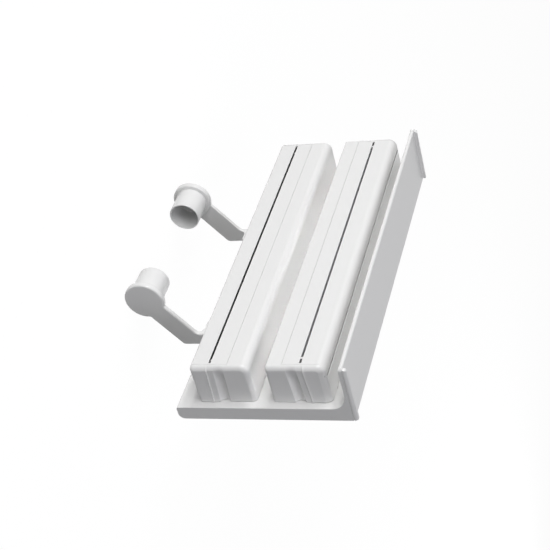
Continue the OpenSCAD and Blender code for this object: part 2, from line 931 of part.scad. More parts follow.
// Side view of an arm's root and strap, in (y, z), with its bend rounded and its hollow filled
module strap_section() {
    along = [cos(strap_angle), sin(strap_angle)];
    side = strap_w / 2 * [-along[1], along[0]];
    axis = [axis_y, axis_z];
    up = [0, 1];
    half = acos(along * up) / 2;
    middle = (along + up) / norm(along + up);
    outer = [root_back, strap_edge_z(root_back, strap_w / 2)];
    inner = [root_front, strap_edge_z(root_front, -strap_w / 2)];
    polygon([
        [root_back, foot_top],
        outer + up * bend_r / tan(half),
        outer + along * bend_r / tan(half),
        axis + side,
        axis - side,
        inner,
        [root_front, foot_top]]);
    translate(outer + middle * bend_r / sin(half))
        circle(bend_r);
    difference() {
        polygon([
            inner,
            inner + up * bend_hollow / tan(half),
            inner + middle * bend_hollow / sin(half),
            inner + along * bend_hollow / tan(half)]);
        translate(inner + middle * bend_hollow / sin(half))
            circle(bend_hollow);
    }
}

// The disc and the hollow plug, turned about the roll's axis, in (r, x) from the arm's outer face
module hub_section() {
    tip = plug_wall / 2;
    plug_mid = plug_r - tip;
    square([disc_r - disc_rim_r, disc_t]);
    translate([0, disc_rim_r])
        square([disc_r, disc_t - 2 * disc_rim_r]);
    for (x = [disc_rim_r, disc_t - disc_rim_r])
        translate([disc_r - disc_rim_r, x])
            circle(disc_rim_r);
    translate([plug_r - plug_wall, disc_t - eps])
        square([plug_wall, plug_l - tip + eps]);
    translate([plug_mid, disc_t + plug_l - tip])
        circle(tip);
}

module right_arm_solid() {
    difference() {
        union() {
            translate([arm_x - strap_t / 2, 0, 0])
                along_x(strap_t)
                    strap_section();
            translate([arm_x, axis_y, axis_z])
                rotate([0, -90, 0])
                    rotate_extrude()
                        hub_section();
            translate([foot_x, root_front, foot_top - foot_t])
                cube([foot_l, root_d, foot_t]);
            translate([0, root_back, 0])
                rotate([90, 0, 0])
                    linear_extrude(root_d)
                        difference() {
                            translate([arm_x - strap_t - foot_fillet, foot_top - foot_t - foot_fillet])
                                square(foot_fillet + eps);
                            translate([arm_x - strap_t - foot_fillet, foot_top - foot_t - foot_fillet])
                                circle(foot_fillet);
                        }
            translate([neck_x, neck_y, foot_top - eps])
                cube([neck_l, neck_d, neck_top - foot_top + eps]);
        }
        translate([shoe_screw_x, shoe_screw_y, neck_top - shoe_bite])
            cylinder(r = shoe_screw_r, h = shoe_bite + past);
    }
}

module right_shoe_solid() {
    top = shoe_low + shoe_h;
    difference() {
        translate([shoe_x, cavity_y + run_gap, shoe_low])
            cube([shoe_l, shoe_d, shoe_h]);
        translate([neck_x - fit_gap, neck_y - past, shoe_low - past])
            cube([neck_l + 2 * fit_gap, neck_d + past + fit_gap, neck_top - shoe_low + past]);
        translate([shoe_screw_x, shoe_screw_y, neck_top - past])
            cylinder(r = shoe_screw_r + fit_gap, h = roof_h + 2 * past);
        translate([shoe_screw_x, shoe_screw_y, top - shoe_head_h])
            cylinder(r = shoe_head_r + fit_gap, h = shoe_head_h + past);
    }
}

module right_shoe_screw_solid() {
    translate([shoe_screw_x, shoe_screw_y, shoe_low + shoe_h - shoe_head_h])
        rotate([-90, 0, 0])
            pan_screw(shoe_screw_r, roof_h - shoe_head_h + shoe_bite - tip_room, shoe_head_r, shoe_head_h);
}

module right_arm() { color(white_plastic) right_arm_solid(); }
module right_shoe() { color(inner_plastic) right_shoe_solid(); }
module right_shoe_screw() { color(steel) right_shoe_screw_solid(); }
module left_arm() { mirror([1, 0, 0]) right_arm(); }
module left_shoe() { mirror([1, 0, 0]) right_shoe(); }
module left_shoe_screw() { mirror([1, 0, 0]) right_shoe_screw(); }

// The part
back_plate();
rear_cover();
cover_screws();
tray(false);  // lower_tray
left_cap(false);  // lower_left_cap
right_cap(false);  // lower_right_cap
tray_screws(false);  // lower_tray_screws
hinge_pins(false);  // lower_hinge_pins
lid(false);  // lower_lid
cutter(false);  // lower_cutter
cutter_rivets(false);  // lower_cutter_rivets
tray(true);  // upper_tray
left_cap(true);  // upper_left_cap
right_cap(true);  // upper_right_cap
tray_screws(true);  // upper_tray_screws
hinge_pins(true);  // upper_hinge_pins
lid(true);  // upper_lid
cutter(true);  // upper_cutter
cutter_rivets(true);  // upper_cutter_rivets
left_arm();
left_shoe();
left_shoe_screw();
right_arm();
right_shoe();
right_shoe_screw();
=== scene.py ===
"""Looks of a wall-mounted kitchen roll dispenser: moulded white plastic, steel cutters and screws."""
import math
from types import SimpleNamespace

import bmesh
import bpy
import numpy as np
from mathutils import Matrix, Vector


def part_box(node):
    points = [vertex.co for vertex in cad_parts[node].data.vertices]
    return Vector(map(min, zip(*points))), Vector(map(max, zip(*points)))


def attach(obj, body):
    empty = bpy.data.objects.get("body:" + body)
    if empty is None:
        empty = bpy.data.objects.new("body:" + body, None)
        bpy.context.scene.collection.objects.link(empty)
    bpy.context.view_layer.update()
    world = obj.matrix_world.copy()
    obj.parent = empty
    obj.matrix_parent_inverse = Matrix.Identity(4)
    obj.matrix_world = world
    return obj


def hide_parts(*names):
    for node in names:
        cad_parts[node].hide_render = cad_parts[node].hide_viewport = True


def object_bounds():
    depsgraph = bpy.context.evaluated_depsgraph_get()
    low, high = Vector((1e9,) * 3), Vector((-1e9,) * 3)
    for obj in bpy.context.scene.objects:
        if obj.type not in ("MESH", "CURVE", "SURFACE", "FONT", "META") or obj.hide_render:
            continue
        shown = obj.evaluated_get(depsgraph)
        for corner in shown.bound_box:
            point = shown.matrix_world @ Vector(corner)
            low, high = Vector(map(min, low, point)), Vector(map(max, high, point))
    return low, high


bl_info = {
    "name": "Kitchen Roll Dispenser",
    "version": (1, 0, 0),
    "blender": (4, 5, 0),
    "location": "View3D > Sidebar > Dispenser",
    "description": "Dresses the frame of a wall-mounted kitchen roll dispenser",
    "category": "Object",
}

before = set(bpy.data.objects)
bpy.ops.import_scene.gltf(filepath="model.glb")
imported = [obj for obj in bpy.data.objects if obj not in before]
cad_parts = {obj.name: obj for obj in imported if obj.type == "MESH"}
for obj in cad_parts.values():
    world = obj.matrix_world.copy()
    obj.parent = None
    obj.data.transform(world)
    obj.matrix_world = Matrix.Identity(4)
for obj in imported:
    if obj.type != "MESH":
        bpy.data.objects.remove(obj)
CAD_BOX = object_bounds()
MM = 0.001
BOXES = ("lower", "upper")
SIDES = ("left", "right")
# Orders of an outline's two coordinates and its height, for outlines carried along X and along Y
ALONG_X = (2, 0, 1)
ALONG_Y = (0, 2, 1)
# Millimetres: overlap of joined skins, and how much wider an outline's corner is than the round on its rim
SEAT = 0.03
CORNER_SPARE = 0.3
# Millimetres, on an end cap: least thickness, overlap of foot and body, width of the step's edge, round of
# the tongues, where across the box the grid's lines start to lean and over how much
CAP_RIM = 0.2
FOOT_LAP = 0.2
STEP_EDGE = 0.5
TONGUE_EDGE = 0.4
LEAN_START = 4.0
LEAN_RUN = 6.0
# Millimetres: round of an arm's neck
NECK_EDGE = 0.3
# Square millimetres: softness of the lips of a finger groove
LIP_SOFTNESS = 0.06
# Soft lamps: the property with their power, then metres: place from the part's middle, width and height
LAMPS = {
    "high_strip": ("high_power", (0.0, -2.22, 0.94), (3.0, 0.3)),
    "low_strip": ("low_power", (0.0, -2.36, 0.45), (3.0, 0.3)),
    "top_lamp": ("top_power", (1.2, -0.4, 1.9), (1.2, 1.2)),
    "back_lamp": ("back_power", (-0.6, 2.4, 0.35), (0.9, 0.5)),
}
# Gap lights: distance from the boxes in metres, length in half boxes, height in gaps, and angles of their
# spread and of the fall between the boxes
GAP_LAMP_REACH = 0.2
GAP_LAMP_LENGTH = 2.1
GAP_LAMP_HEIGHT = 0.9
GAP_LAMP_SPREAD = math.radians(2.0)
GAP_FALL = math.radians(21.0)
# Millimetres: room between the upper box and the shelf, and height of its part that the light reaches
SHELF_GAP = 15.0
SHELF_LIGHT = 4.0


# Sizes and colours

def length(name, description, millimetres):
    """A length property, given in millimetres."""
    return bpy.props.FloatProperty(
        name=name, description=description, unit="LENGTH", precision=4, min=0.0, default=millimetres * MM)


def angle(name, description, degrees, least=-180.0, most=180.0):
    """An angle property, given in degrees."""
    return bpy.props.FloatProperty(
        name=name, description=description, subtype="ANGLE", min=math.radians(least), max=math.radians(most),
        default=math.radians(degrees))


def fraction(name, description, default):
    """A property between 0 and 1."""
    return bpy.props.FloatProperty(
        name=name, description=description, subtype="FACTOR", min=0.0, max=1.0, default=default)


def tint(name, description, default, most=1.0):
    """A colour property. The tint of a light may go past 1."""
    return bpy.props.FloatVectorProperty(
        name=name, description=description, subtype="COLOR", size=3, min=0.0, max=most, default=default)


def wattage(name, description, watts):
    """A lamp's power property."""
    return bpy.props.FloatProperty(
        name=name, description=description, unit="POWER", precision=4, min=0.0, default=watts)


def point(name, description, metres):
    """A place property, given in metres."""
    return bpy.props.FloatVectorProperty(
        name=name, description=description, subtype="TRANSLATION", size=3, default=metres)


class PlasticLook(bpy.types.PropertyGroup):
    """Colours and finish of the moulded plastic."""
    shell_colour: tint("Shell Colour", "White of the outer mouldings", (0.94, 0.94, 0.934))
    inner_colour: tint("Inner Colour", "White of the pieces behind the plate", (0.72, 0.72, 0.70))
    shell_roughness: fraction("Shell Roughness", "Satin of the outer mouldings", 0.38)
    inner_roughness: fraction("Inner Roughness", "Matt of the pieces behind the plate", 0.55)
    edge_radius: length("Edge Radius", "Radius that a crisp edge seems to have in the light", 0.45)
    edge_break: length("Edge Break", "Width of the break on the crisp edges of the frame's nodes", 0.05)


class CapShape(bpy.types.PropertyGroup):
    """Shape of the end caps. Places across a box count from its hinge side, at the front."""
    front_roll: length("Front Roll", "Reach of the roll from the front", 4.0)
    side_roll: length("Side Roll", "Reach of the roll from the side above, on the lower box", 4.2)
    upper_roll: length("Upper Side Roll", "Reach of the roll from the side above, on the upper box", 6.3)
    roll_sweep: angle(
        "Roll Sweep", "Angle through which the rolls turn before the flat end cuts them", 58.0,
        least=10.0, most=90.0)
    narrow_roll: length("Narrow Roll", "Width of the roll into the side below", 3.0)
    top_corner: length("Top Corner", "Radius of the box's front corner above", 8.0)
    low_corner: length("Low Corner", "Radius of the box's front corner below", 2.5)
    foot_line: length("Foot Line", "Width and height of the shadow line at the plate", 1.0)
    groove_place: length("Groove Place", "Middle of the finger groove", 27.2)
    groove_width: length("Groove Width", "Width of the finger groove", 10.0)
    groove_depth: length("Groove Depth", "Depth of the finger groove", 3.0)
    groove_front: fraction("Groove Front", "Share of that depth at the front", 0.15)
    groove_start: length("Groove Start", "How far from the front it starts to deepen", 2.0)
    groove_run: length("Groove Run", "Distance over which it deepens", 15.0)
    step_place: length("Step Place", "Where the outer face steps down", 16.3)
    step_height: length("Step Height", "Height of that step", 1.2)
    crest: fraction("Crest", "Share of the step by which its high side falls away again", 0.6)
    crest_width: length("Crest Width", "Width over which it falls away", 1.1)
    upper_shift: length("Upper Shift", "How much further in groove and step lie on the upper box", 4.6)
    lean: angle("Lean", "Lean of groove and step to the hinge side", 3.0)
    tongue_wall: length("Tongue Wall", "Thickness of tongues and of the tray's walls", 2.2)
    tongue_gap: length("Tongue Gap", "Gap between tongues and the tray's walls", 0.2)
    tongue_height: length("Tongue Height", "Height of the tongue along the far wall", 27.0)


class ArmShape(bpy.types.PropertyGroup):
    """Shape of the arms."""
    disc_radius: length("Disc Radius", "Radius of the disc", 20.0)
    disc_thick: length("Disc Thickness", "Thickness of the disc", 6.5)
    rim_radius: length("Rim Radius", "Round on the disc's inner rim", 1.4)
    plug_radius: length("Plug Radius", "Radius of the plug at the disc", 15.9)
    plug_wall: length("Plug Wall", "Wall of the plug", 1.5)
    plug_taper: length("Plug Taper", "How much the plug's radius shrinks to its tip", 0.15)
    plug_fillet: length("Plug Fillet", "Hollow round where the plug meets the disc", 0.35)
    strap_width: length("Strap Width", "Width of the strap", 21.8)
    strap_thick: length("Strap Thickness", "Thickness of the strap", 4.5)
    edge_radius: length("Edge Radius", "Round on the strap's inner edges", 0.9)
    outer_edge: length("Outer Edge", "Round on the strap's outer edges", 1.8)
    join_radius: length("Join Radius", "Hollow round where strap and disc meet", 2.0)
    bend_drop: length("Bend Drop", "How far below the plate the strap bends", 18.7)
    bend_radius: length("Bend Radius", "Round of the bend on the wall's side", 5.0)
    hollow_radius: length("Hollow Radius", "Round of the bend in front", 6.0)
    root_depth: length("Root Depth", "Depth of the root below the plate", 13.4)
    clearance: length("Clearance", "Gap below the plate", 0.3)
    foot_length: length("Foot Length", "Length of the foot below the plate", 19.0)
    foot_thick: length("Foot Thickness", "Thickness of the foot", 4.5)
    foot_fillet: length("Foot Fillet", "Hollow round between foot and strap", 6.0)
    neck_length: length("Neck Length", "Length of the neck in the plate's slot", 12.0)
    neck_depth: length("Neck Depth", "Depth of the neck", 5.8)
    neck_place: length("Neck Place", "How far behind the plate's front the neck starts", 2.9)


class CutterShape(bpy.types.PropertyGroup):
    """Shape of the cutters and their rivets."""
    pitch: length("Pitch", "Width of one tooth", 3.0)
    tooth_height: length("Tooth Height", "Height of one tooth", 1.2)
    grind: length("Grind", "Width of the ground edge", 1.8)
    edge_share: fraction("Edge Share", "Share of the thickness that is left at the ground edge", 0.12)
    rivets: bpy.props.IntProperty(name="Rivets", description="Rivets in one row", min=2, default=5)
    shank_share: fraction("Shank Share", "Radius of a rivet's shank, as a share of its head's", 0.6)
    nose_share: fraction("Nose Share", "Radius of the shank's end, as a share of the head's", 0.55)
    nose_height: length("Nose Height", "Height over which the shank's end narrows", 0.1)
    brim_share: fraction("Brim Share", "Height of a head's upright brim, as a share of the head's", 0.25)


class MetalLook(bpy.types.PropertyGroup):
    """Colours and finish of cutters, pins, rivets and screws."""
    cutter_colour: tint("Cutter Colour", "Rolled steel of the cutters", (0.60, 0.61, 0.62))
    cutter_roughness: fraction("Cutter Roughness", "Rolled finish of the cutters", 0.27)
    fastener_colour: tint("Fastener Colour", "Zinc on screws, pins and rivets", (0.58, 0.59, 0.61))
    fastener_roughness: fraction("Fastener Roughness", "Plated finish of screws, pins and rivets", 0.34)
    edge_break: length("Edge Break", "Width of the break on the edges of screws and pins", 0.15)


class StudioStage(bpy.types.PropertyGroup):
    """Floor, lamps and camera."""
    floor_colour: tint("Floor Colour", "Pale floor under the part", (0.42, 0.42, 0.42))
    floor_half: length("Floor Half Width", "Half the width of the floor", 6000.0)
    shadow_share: fraction("Shadow Share", "Share of the floor's own shading that the camera sees", 0.15)
    floor_glow: bpy.props.FloatProperty(
        name="Floor Glow", description="Strength of the rest, at which the bare floor is seen as white",
        min=0.0, default=1.135)
    ambient: bpy.props.FloatProperty(
        name="Ambient", description="Light from all round", min=0.0, default=0.04)
    ambient_colour: tint("Ambient Colour", "Tint of the light from all round", (0.985, 0.985, 1.03), most=2.0)
    high_power: wattage("High Strip", "Power of the higher strip light in front", 29.5)
    low_power: wattage("Low Strip", "Power of the lower strip light in front", 26.5)
    top_power: wattage("Top Lamp", "Power of the soft lamp above", 11.5)
    top_colour: tint("Top Colour", "Tint of the soft lamp above", (0.97, 0.97, 1.04), most=2.0)
    back_power: wattage("Back Lamp", "Power of the lamp behind", 26.0)
    gap_power: wattage("Gap Fill", "Power of the narrow light in front of the gap between the boxes", 0.0105)
    shelf_share: fraction("Shelf Share", "Share of that power in the narrow light below the shelf", 0.18)
    camera_place: point("Camera Place", "Where the camera stands", (1.0222, -0.8508, 0.4259))
    camera_aim: point("Camera Aim", "Point at the middle of the picture", (0.04786, -0.0565, -0.01421))
    camera_roll: angle("Camera Roll", "Turn of the camera about its view, from level", 88.72)
    camera_lens: bpy.props.FloatProperty(
        name="Camera Lens", description="Focal length on a 36 mm sensor, in mm", min=1.0, default=91.37)


def in_millimetres(group):
    """The values of a property group, with its lengths in millimetres."""
    values = SimpleNamespace()
    for key in group.__annotations__:
        is_length = group.bl_rna.properties[key].unit == "LENGTH"
        value = getattr(group, key)
        setattr(values, key, value / MM if is_length else value)
    return values


# Node trees

def group_tree(name, inputs, outputs):
    """An empty shader group with named sockets. Inputs are (name, kind, default), outputs (name, kind)."""
    tree = bpy.data.node_groups.new(name, "ShaderNodeTree")
    for label, kind, value in inputs:
        socket = tree.interface.new_socket(label, in_out="INPUT", socket_type=kind)
        socket.default_value = value
    for label, kind in outputs:
        tree.interface.new_socket(label, in_out="OUTPUT", socket_type=kind)
    source = tree.nodes.new("NodeGroupInput")
    sink = tree.nodes.new("NodeGroupOutput")
    return tree, source, sink


def node(tree, kind, **settings):
    """A new node with its settings."""
    made = tree.nodes.new(kind)
    for key, value in settings.items():
        setattr(made, key, value)
    return made


def feed(tree, socket, value):
    """Gives an input its number, vector or colour, or a link where the value is another node's socket."""
    if isinstance(value, bpy.types.NodeSocket):
        tree.links.new(value, socket)
    else:
        socket.default_value = value


def math_node(tree, operation, first, second):
    """A Math node whose two inputs are sockets or numbers."""
    made = node(tree, "ShaderNodeMath", operation=operation)
    feed(tree, made.inputs[0], first)
    feed(tree, made.inputs[1], second)
    return made.outputs["Value"]


def noise_node(tree, vector, scale, detail):
    """A noise texture on a vector, with its scale as a socket or a number."""
    made = node(tree, "ShaderNodeTexNoise")
    feed(tree, made.inputs["Vector"], vector)
    feed(tree, made.inputs["Scale"], scale)
    feed(tree, made.inputs["Detail"], detail)
    return made.outputs["Fac"]


def moulded_grain_group():
    """Height and roughness of a moulded skin: fine grain of the tool, and slow waves where it shrank."""
    tree, source, sink = group_tree(
        "Moulded Grain",
        [("Vector", "NodeSocketVector", (0.0, 0.0, 0.0)),
         ("Grain Scale", "NodeSocketFloat", 2600.0),
         ("Wave Scale", "NodeSocketFloat", 26.0),
         ("Wave Share", "NodeSocketFloat", 0.6),
         ("Roughness", "NodeSocketFloat", 0.4),
         ("Roughness Spread", "NodeSocketFloat", 0.08)],
        [("Height", "NodeSocketFloat"), ("Roughness", "NodeSocketFloat")])
    grain = noise_node(tree, source.outputs["Vector"], source.outputs["Grain Scale"], detail=3.0)
    wave = noise_node(tree, source.outputs["Vector"], source.outputs["Wave Scale"], detail=1.0)
    waves = math_node(tree, "MULTIPLY", wave, source.outputs["Wave Share"])
    tree.links.new(math_node(tree, "ADD", grain, waves), sink.inputs["Height"])
    middle = math_node(tree, "SUBTRACT", wave, 0.5)
    drift = math_node(tree, "MULTIPLY", middle, source.outputs["Roughness Spread"])
    tree.links.new(math_node(tree, "ADD", drift, source.outputs["Roughness"]), sink.inputs["Roughness"])
    return tree


def tone_drift_group():
    """A colour that drifts slowly over the surface towards a second one. The Mix node's sockets for colours
    are its inputs 6 and 7 and its output 2."""
    tree, source, sink = group_tree(
        "Tone Drift",
        [("Vector", "NodeSocketVector", (0.0, 0.0, 0.0)),
         ("Colour", "NodeSocketColor", (0.8, 0.8, 0.8, 1.0)),
         ("Second Colour", "NodeSocketColor", (0.7, 0.7, 0.7, 1.0)),
         ("Scale", "NodeSocketFloat", 12.0),
         ("Share", "NodeSocketFloat", 0.3)],
        [("Colour", "NodeSocketColor")])
    patch = noise_node(tree, source.outputs["Vector"], source.outputs["Scale"], detail=4.0)
    share = math_node(tree, "MULTIPLY", patch, source.outputs["Share"])
    mix = node(tree, "ShaderNodeMix", data_type="RGBA")
    tree.links.new(share, mix.inputs[0])
    tree.links.new(source.outputs["Colour"], mix.inputs[6])
    tree.links.new(source.outputs["Second Colour"], mix.inputs[7])
    tree.links.new(mix.outputs[2], sink.inputs["Colour"])
    return tree


GROUP_BUILDERS = {"Moulded Grain": moulded_grain_group, "Tone Drift": tone_drift_group}


def placed_group(tree, name, **values):
    """A group placed in a material with its own values, and built the first time that it is asked for."""
    made = node(tree, "ShaderNodeGroup")
    made.node_tree = bpy.data.node_groups.get(name) or GROUP_BUILDERS[name]()
    for key, value in values.items():
        feed(tree, made.inputs[key.replace("_", " ").title()], value)
    return made


def opaque(colour):
    """A colour with an alpha of one."""
    return (*colour, 1.0)


def toned(colour, *factors):
    """A colour with each channel times its factor."""
    return tuple(channel * factor for channel, factor in zip(colour, factors))


def principled(name):
    """A new material with one Principled shader, and the Object coordinates."""
    material = bpy.data.materials.new(name)
    material.use_nodes = True
    tree = material.node_tree
    shader = tree.nodes["Principled BSDF"]
    place = node(tree, "ShaderNodeTexCoord").outputs["Object"]
    return material, tree, shader, place


def lead_in(tree, shader, drift, grain, strength, depth):
    """Leads a drifting colour and a grain into the shader, the grain's height through a Bump node."""
    bump = node(tree, "ShaderNodeBump")
    bump.inputs["Strength"].default_value = strength
    bump.inputs["Distance"].default_value = depth
    tree.links.new(grain.outputs["Height"], bump.inputs["Height"])
    tree.links.new(drift.outputs["Colour"], shader.inputs["Base Color"])
    tree.links.new(grain.outputs["Roughness"], shader.inputs["Roughness"])
    tree.links.new(bump.outputs["Normal"], shader.inputs["Normal"])
    return bump


def plastic_material(name, colour, second, roughness, grain_depth):
    """Moulded plastic: a white that drifts a little, satin that varies, fine grain, slow waves and soft
    edges."""
    material, tree, shader, place = principled(name)
    drift = placed_group(tree, "Tone Drift", vector=place, colour=opaque(colour),
                         second_colour=opaque(second), scale=9.0, share=0.5)
    grain = placed_group(tree, "Moulded Grain", vector=place, roughness=roughness)
    bump = lead_in(tree, shader, drift, grain, strength=0.35, depth=grain_depth)
    soft = node(tree, "ShaderNodeBevel", samples=6)
    soft.inputs["Radius"].default_value = bpy.context.scene.dispenser_plastic.edge_radius
    tree.links.new(soft.outputs["Normal"], bump.inputs["Normal"])
    shader.inputs["IOR"].default_value = 1.5
    return material


def metal_material(name, colour, second, roughness, stretch):
    """Metal with fine lines that run along the part's length, drawn out by stretch."""
    material, tree, shader, place = principled(name)
    turn = node(tree, "ShaderNodeMapping")
    turn.inputs["Scale"].default_value = (1.0 / stretch, 1.0, 1.0)
    tree.links.new(place, turn.inputs["Vector"])
    drawn = turn.outputs["Vector"]
    drift = placed_group(tree, "Tone Drift", vector=drawn, colour=opaque(colour),
                         second_colour=opaque(second), scale=420.0, share=0.8)
    grain = placed_group(tree, "Moulded Grain", vector=drawn, grain_scale=5200.0, wave_scale=700.0,
                         roughness=roughness, roughness_spread=0.25)
    lead_in(tree, shader, drift, grain, strength=0.3, depth=0.00002)
    shader.inputs["Metallic"].default_value = 1.0
    return material


def white_plastic(name):
    """The outer mouldings: a clean white with a little warmth in patches."""
    plastic = bpy.context.scene.dispenser_plastic
    warm = toned(plastic.shell_colour, 0.985, 0.98, 0.965)
    return plastic_material(name, plastic.shell_colour, warm, plastic.shell_roughness, grain_depth=0.00003)


def inner_plastic(name):
    """The pieces behind the plate: a duller white, and a coarser grain."""
    plastic = bpy.context.scene.dispenser_plastic
    grey = toned(plastic.inner_colour, 0.93, 0.93, 0.93)
    return plastic_material(name, plastic.inner_colour, grey, plastic.inner_roughness, grain_depth=0.00005)


def cutter_steel(name):
    """Rolled steel, with lines along the cutter."""
    metal = bpy.context.scene.dispenser_metal
    dark = toned(metal.cutter_colour, 0.8, 0.8, 0.8)
    return metal_material(name, metal.cutter_colour, dark, metal.cutter_roughness, stretch=40.0)


def fastener_steel(name):
    """Zinc plate, a little blue in patches."""
    metal = bpy.context.scene.dispenser_metal
    blue = toned(metal.fastener_colour, 0.86, 0.9, 0.97)
    return metal_material(name, metal.fastener_colour, blue, metal.fastener_roughness, stretch=1.0)


FINISHES = {
    "white_plastic": white_plastic,
    "inner_plastic": inner_plastic,
    "cutter_steel": cutter_steel,
    "fastener_steel": fastener_steel,
}


def look(name):
    """The finish of that name, made the first time that it is asked for."""
    return bpy.data.materials.get(name) or FINISHES[name](name)


# Surfaces worked out on grids

def grid_faces(rows, columns, closed=False):
    """Quads of a grid of points, row by row. A closed grid joins its last column to its first."""
    start = np.arange(rows - 1)[:, None] * columns
    near = np.arange(columns if closed else columns - 1)[None, :]
    far = (near + 1) % columns
    quads = np.stack([start + near, start + far, start + columns + far, start + columns + near], axis=-1)
    return quads.reshape(-1, 4).tolist()


def ringed_shell(rings):
    """A closed skin over rings of points: quads from ring to ring, and one flat face at each end."""
    count, around = rings.shape[:2]
    faces = grid_faces(count, around, closed=True)
    faces.append(list(range(around)))
    faces.append(list(range((count - 1) * around, count * around)))
    return rings.reshape(-1, 3), faces


def two_sided_shell(front, back):
    """A closed skin between two grids of points of one size: both grids, and a strip round their rims."""
    rows, columns = front.shape[:2]
    number = np.arange(rows * columns).reshape(rows, columns)
    rim = np.concatenate([number[0, :-1], number[:-1, -1], number[-1, :0:-1], number[:0:-1, 0]])
    ahead = np.roll(rim, -1)
    other = rows * columns
    faces = grid_faces(rows, columns)
    faces += [[other + corner for corner in face] for face in faces]
    faces += np.stack([rim, ahead, ahead + other, rim + other], axis=-1).tolist()
    return np.concatenate([front.reshape(-1, 3), back.reshape(-1, 3)]), faces


def arc(centre, radius, start, end, count):
    """Points of a circle: its centre plus its radius times the cosine and sine of evenly spaced degrees."""
    turn = np.radians(np.linspace(start, end, count))
    return np.asarray(centre) + radius * np.stack([np.cos(turn), np.sin(turn)], axis=-1)


def outline(arcs, inset):
    """A closed outline of arcs with straight lines between them, moved inwards by the inset.
    An arc is (centre, radius, start, end). One that turns forwards bulges out and gets smaller, one that
    turns backwards is a hollow and gets larger, so that all insets of an outline run parallel. Points lie
    about 4 degrees apart."""
    parts = []
    for centre, radius, start, end in arcs:
        drawn = radius - inset if end > start else radius + inset
        parts.append(arc(centre, drawn, start, end, 3 + int(abs(end - start) / 4.0)))
    return np.concatenate(parts)


def rounded_slab(arcs, low, high, edges, axes):
    """An outline carried from low to high, with a round rim at each end: going in by an angle t of a
    quarter circle, the outline's inset is edge times (1 - sin t) and its rise edge times (1 - cos t).
    Edges holds the low and the high rim's radius. Axes says where the outline's two coordinates and the
    height go."""
    turn = np.radians(np.linspace(0.0, 90.0, 8))
    inward = 1.0 - np.sin(turn)
    upward = 1.0 - np.cos(turn)
    rims = list(zip(edges[0] * inward, low + edges[0] * upward))
    rims += list(zip(edges[1] * inward[::-1], high - edges[1] * upward[::-1]))
    rings = [np.insert(outline(arcs, inset), 2, height, axis=1) for inset, height in rims]
    return ringed_shell(np.stack(rings)[..., axes])


def bar(low, high, radius):
    """A block with all its edges round: a rectangle in Y and Z with corners a fifth rounder than the rims,
    carried along X."""
    corner = 1.2 * radius
    left, down = np.add(low[1:], corner)
    right, up = np.subtract(high[1:], corner)
    arcs = [((right, up), corner, 0.0, 90.0), ((left, up), corner, 90.0, 180.0),
            ((left, down), corner, 180.0, 270.0), ((right, down), corner, 270.0, 360.0)]
    return rounded_slab(arcs, low[0], high[0], (radius, radius), ALONG_X)


def turned(profile, centre, axes, count):
    """A profile of (radius, height) turned about an axis: at each angle a, its points lie at the radius
    times cos a and sin a across the axis, and at the height along it. Axes says where these three go."""
    turn = np.linspace(0.0, 2.0 * np.pi, count, endpoint=False)
    radius, height = profile[:, :1], profile[:, 1:]
    points = np.stack([radius * np.cos(turn), radius * np.sin(turn), height + 0.0 * turn], axis=-1)
    return ringed_shell(points[..., axes] + np.asarray(centre))


def ease(value):
    """Smooth rise from 0 to 1: three times the square less twice the cube, held at both ends."""
    held = np.clip(value, 0.0, 1.0)
    return held * held * (3.0 - 2.0 * held)


def quarter_round(reach, count):
    """Distances from an edge that lie evenly round a quarter circle: reach times (1 - cos t)."""
    return reach * (1.0 - np.cos(np.linspace(0.0, 0.5 * np.pi, count)))


# Pieces made from those surfaces

def shell_object(name, shell):
    """An object for one closed skin in millimetres, with doubled points merged and its faces outwards."""
    points, faces = shell
    mesh = bpy.data.meshes.new(name)
    mesh.from_pydata((points * MM).tolist(), [], faces)
    work = bmesh.new()
    work.from_mesh(mesh)
    bmesh.ops.remove_doubles(work, verts=work.verts, dist=1e-7)
    bmesh.ops.recalc_face_normals(work, faces=work.faces)
    work.to_mesh(mesh)
    work.free()
    made = bpy.data.objects.new(name, mesh)
    bpy.context.scene.collection.objects.link(made)
    return made


def united(name, shells):
    """One mesh from closed skins that overlap, joined so that nothing is left inside."""
    parts = [shell_object(f"{name}_{i}", shell) for i, shell in enumerate(shells)]
    for other in parts[1:]:
        join = parts[0].modifiers.new("Join", "BOOLEAN")
        join.operation = "UNION"
        join.solver = "EXACT"
        join.object = other
    seen = parts[0].evaluated_get(bpy.context.evaluated_depsgraph_get())
    mesh = bpy.data.meshes.new_from_object(seen)
    for part in parts:
        data = part.data
        bpy.data.objects.remove(part)
        bpy.data.meshes.remove(data)
    mesh.name = name
    return mesh


def dress(name, mesh, body, slot, replaced):
    """A finished piece: smooth shading with its crisp edges kept, its material, its body and its nodes."""
    mesh.polygons.foreach_set("use_smooth", np.ones(len(mesh.polygons), bool))
    mesh.set_sharp_from_angle(angle=math.radians(40.0))
    mesh.materials.clear()
    mesh.materials.append(look(slot))
    piece = bpy.data.objects.new(name, mesh)
    bpy.context.scene.collection.objects.link(piece)
    shade = piece.modifiers.new("Even Shading", "WEIGHTED_NORMAL")
    shade.keep_sharp = True
    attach(piece, body)
    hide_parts(*replaced)


def on_side(shells, side):
    """Skins of the right-hand side, or the same on the other side of the part's middle."""
    flip = np.array([1.0 if side == "right" else -1.0, 1.0, 1.0])
    return [(points * flip, faces) for points, faces in shells]


def node_box(name):
    """Lowest and highest corner of one of the frame's nodes, in millimetres."""
    low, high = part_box(name)
    return np.array(low) / MM, np.array(high) / MM


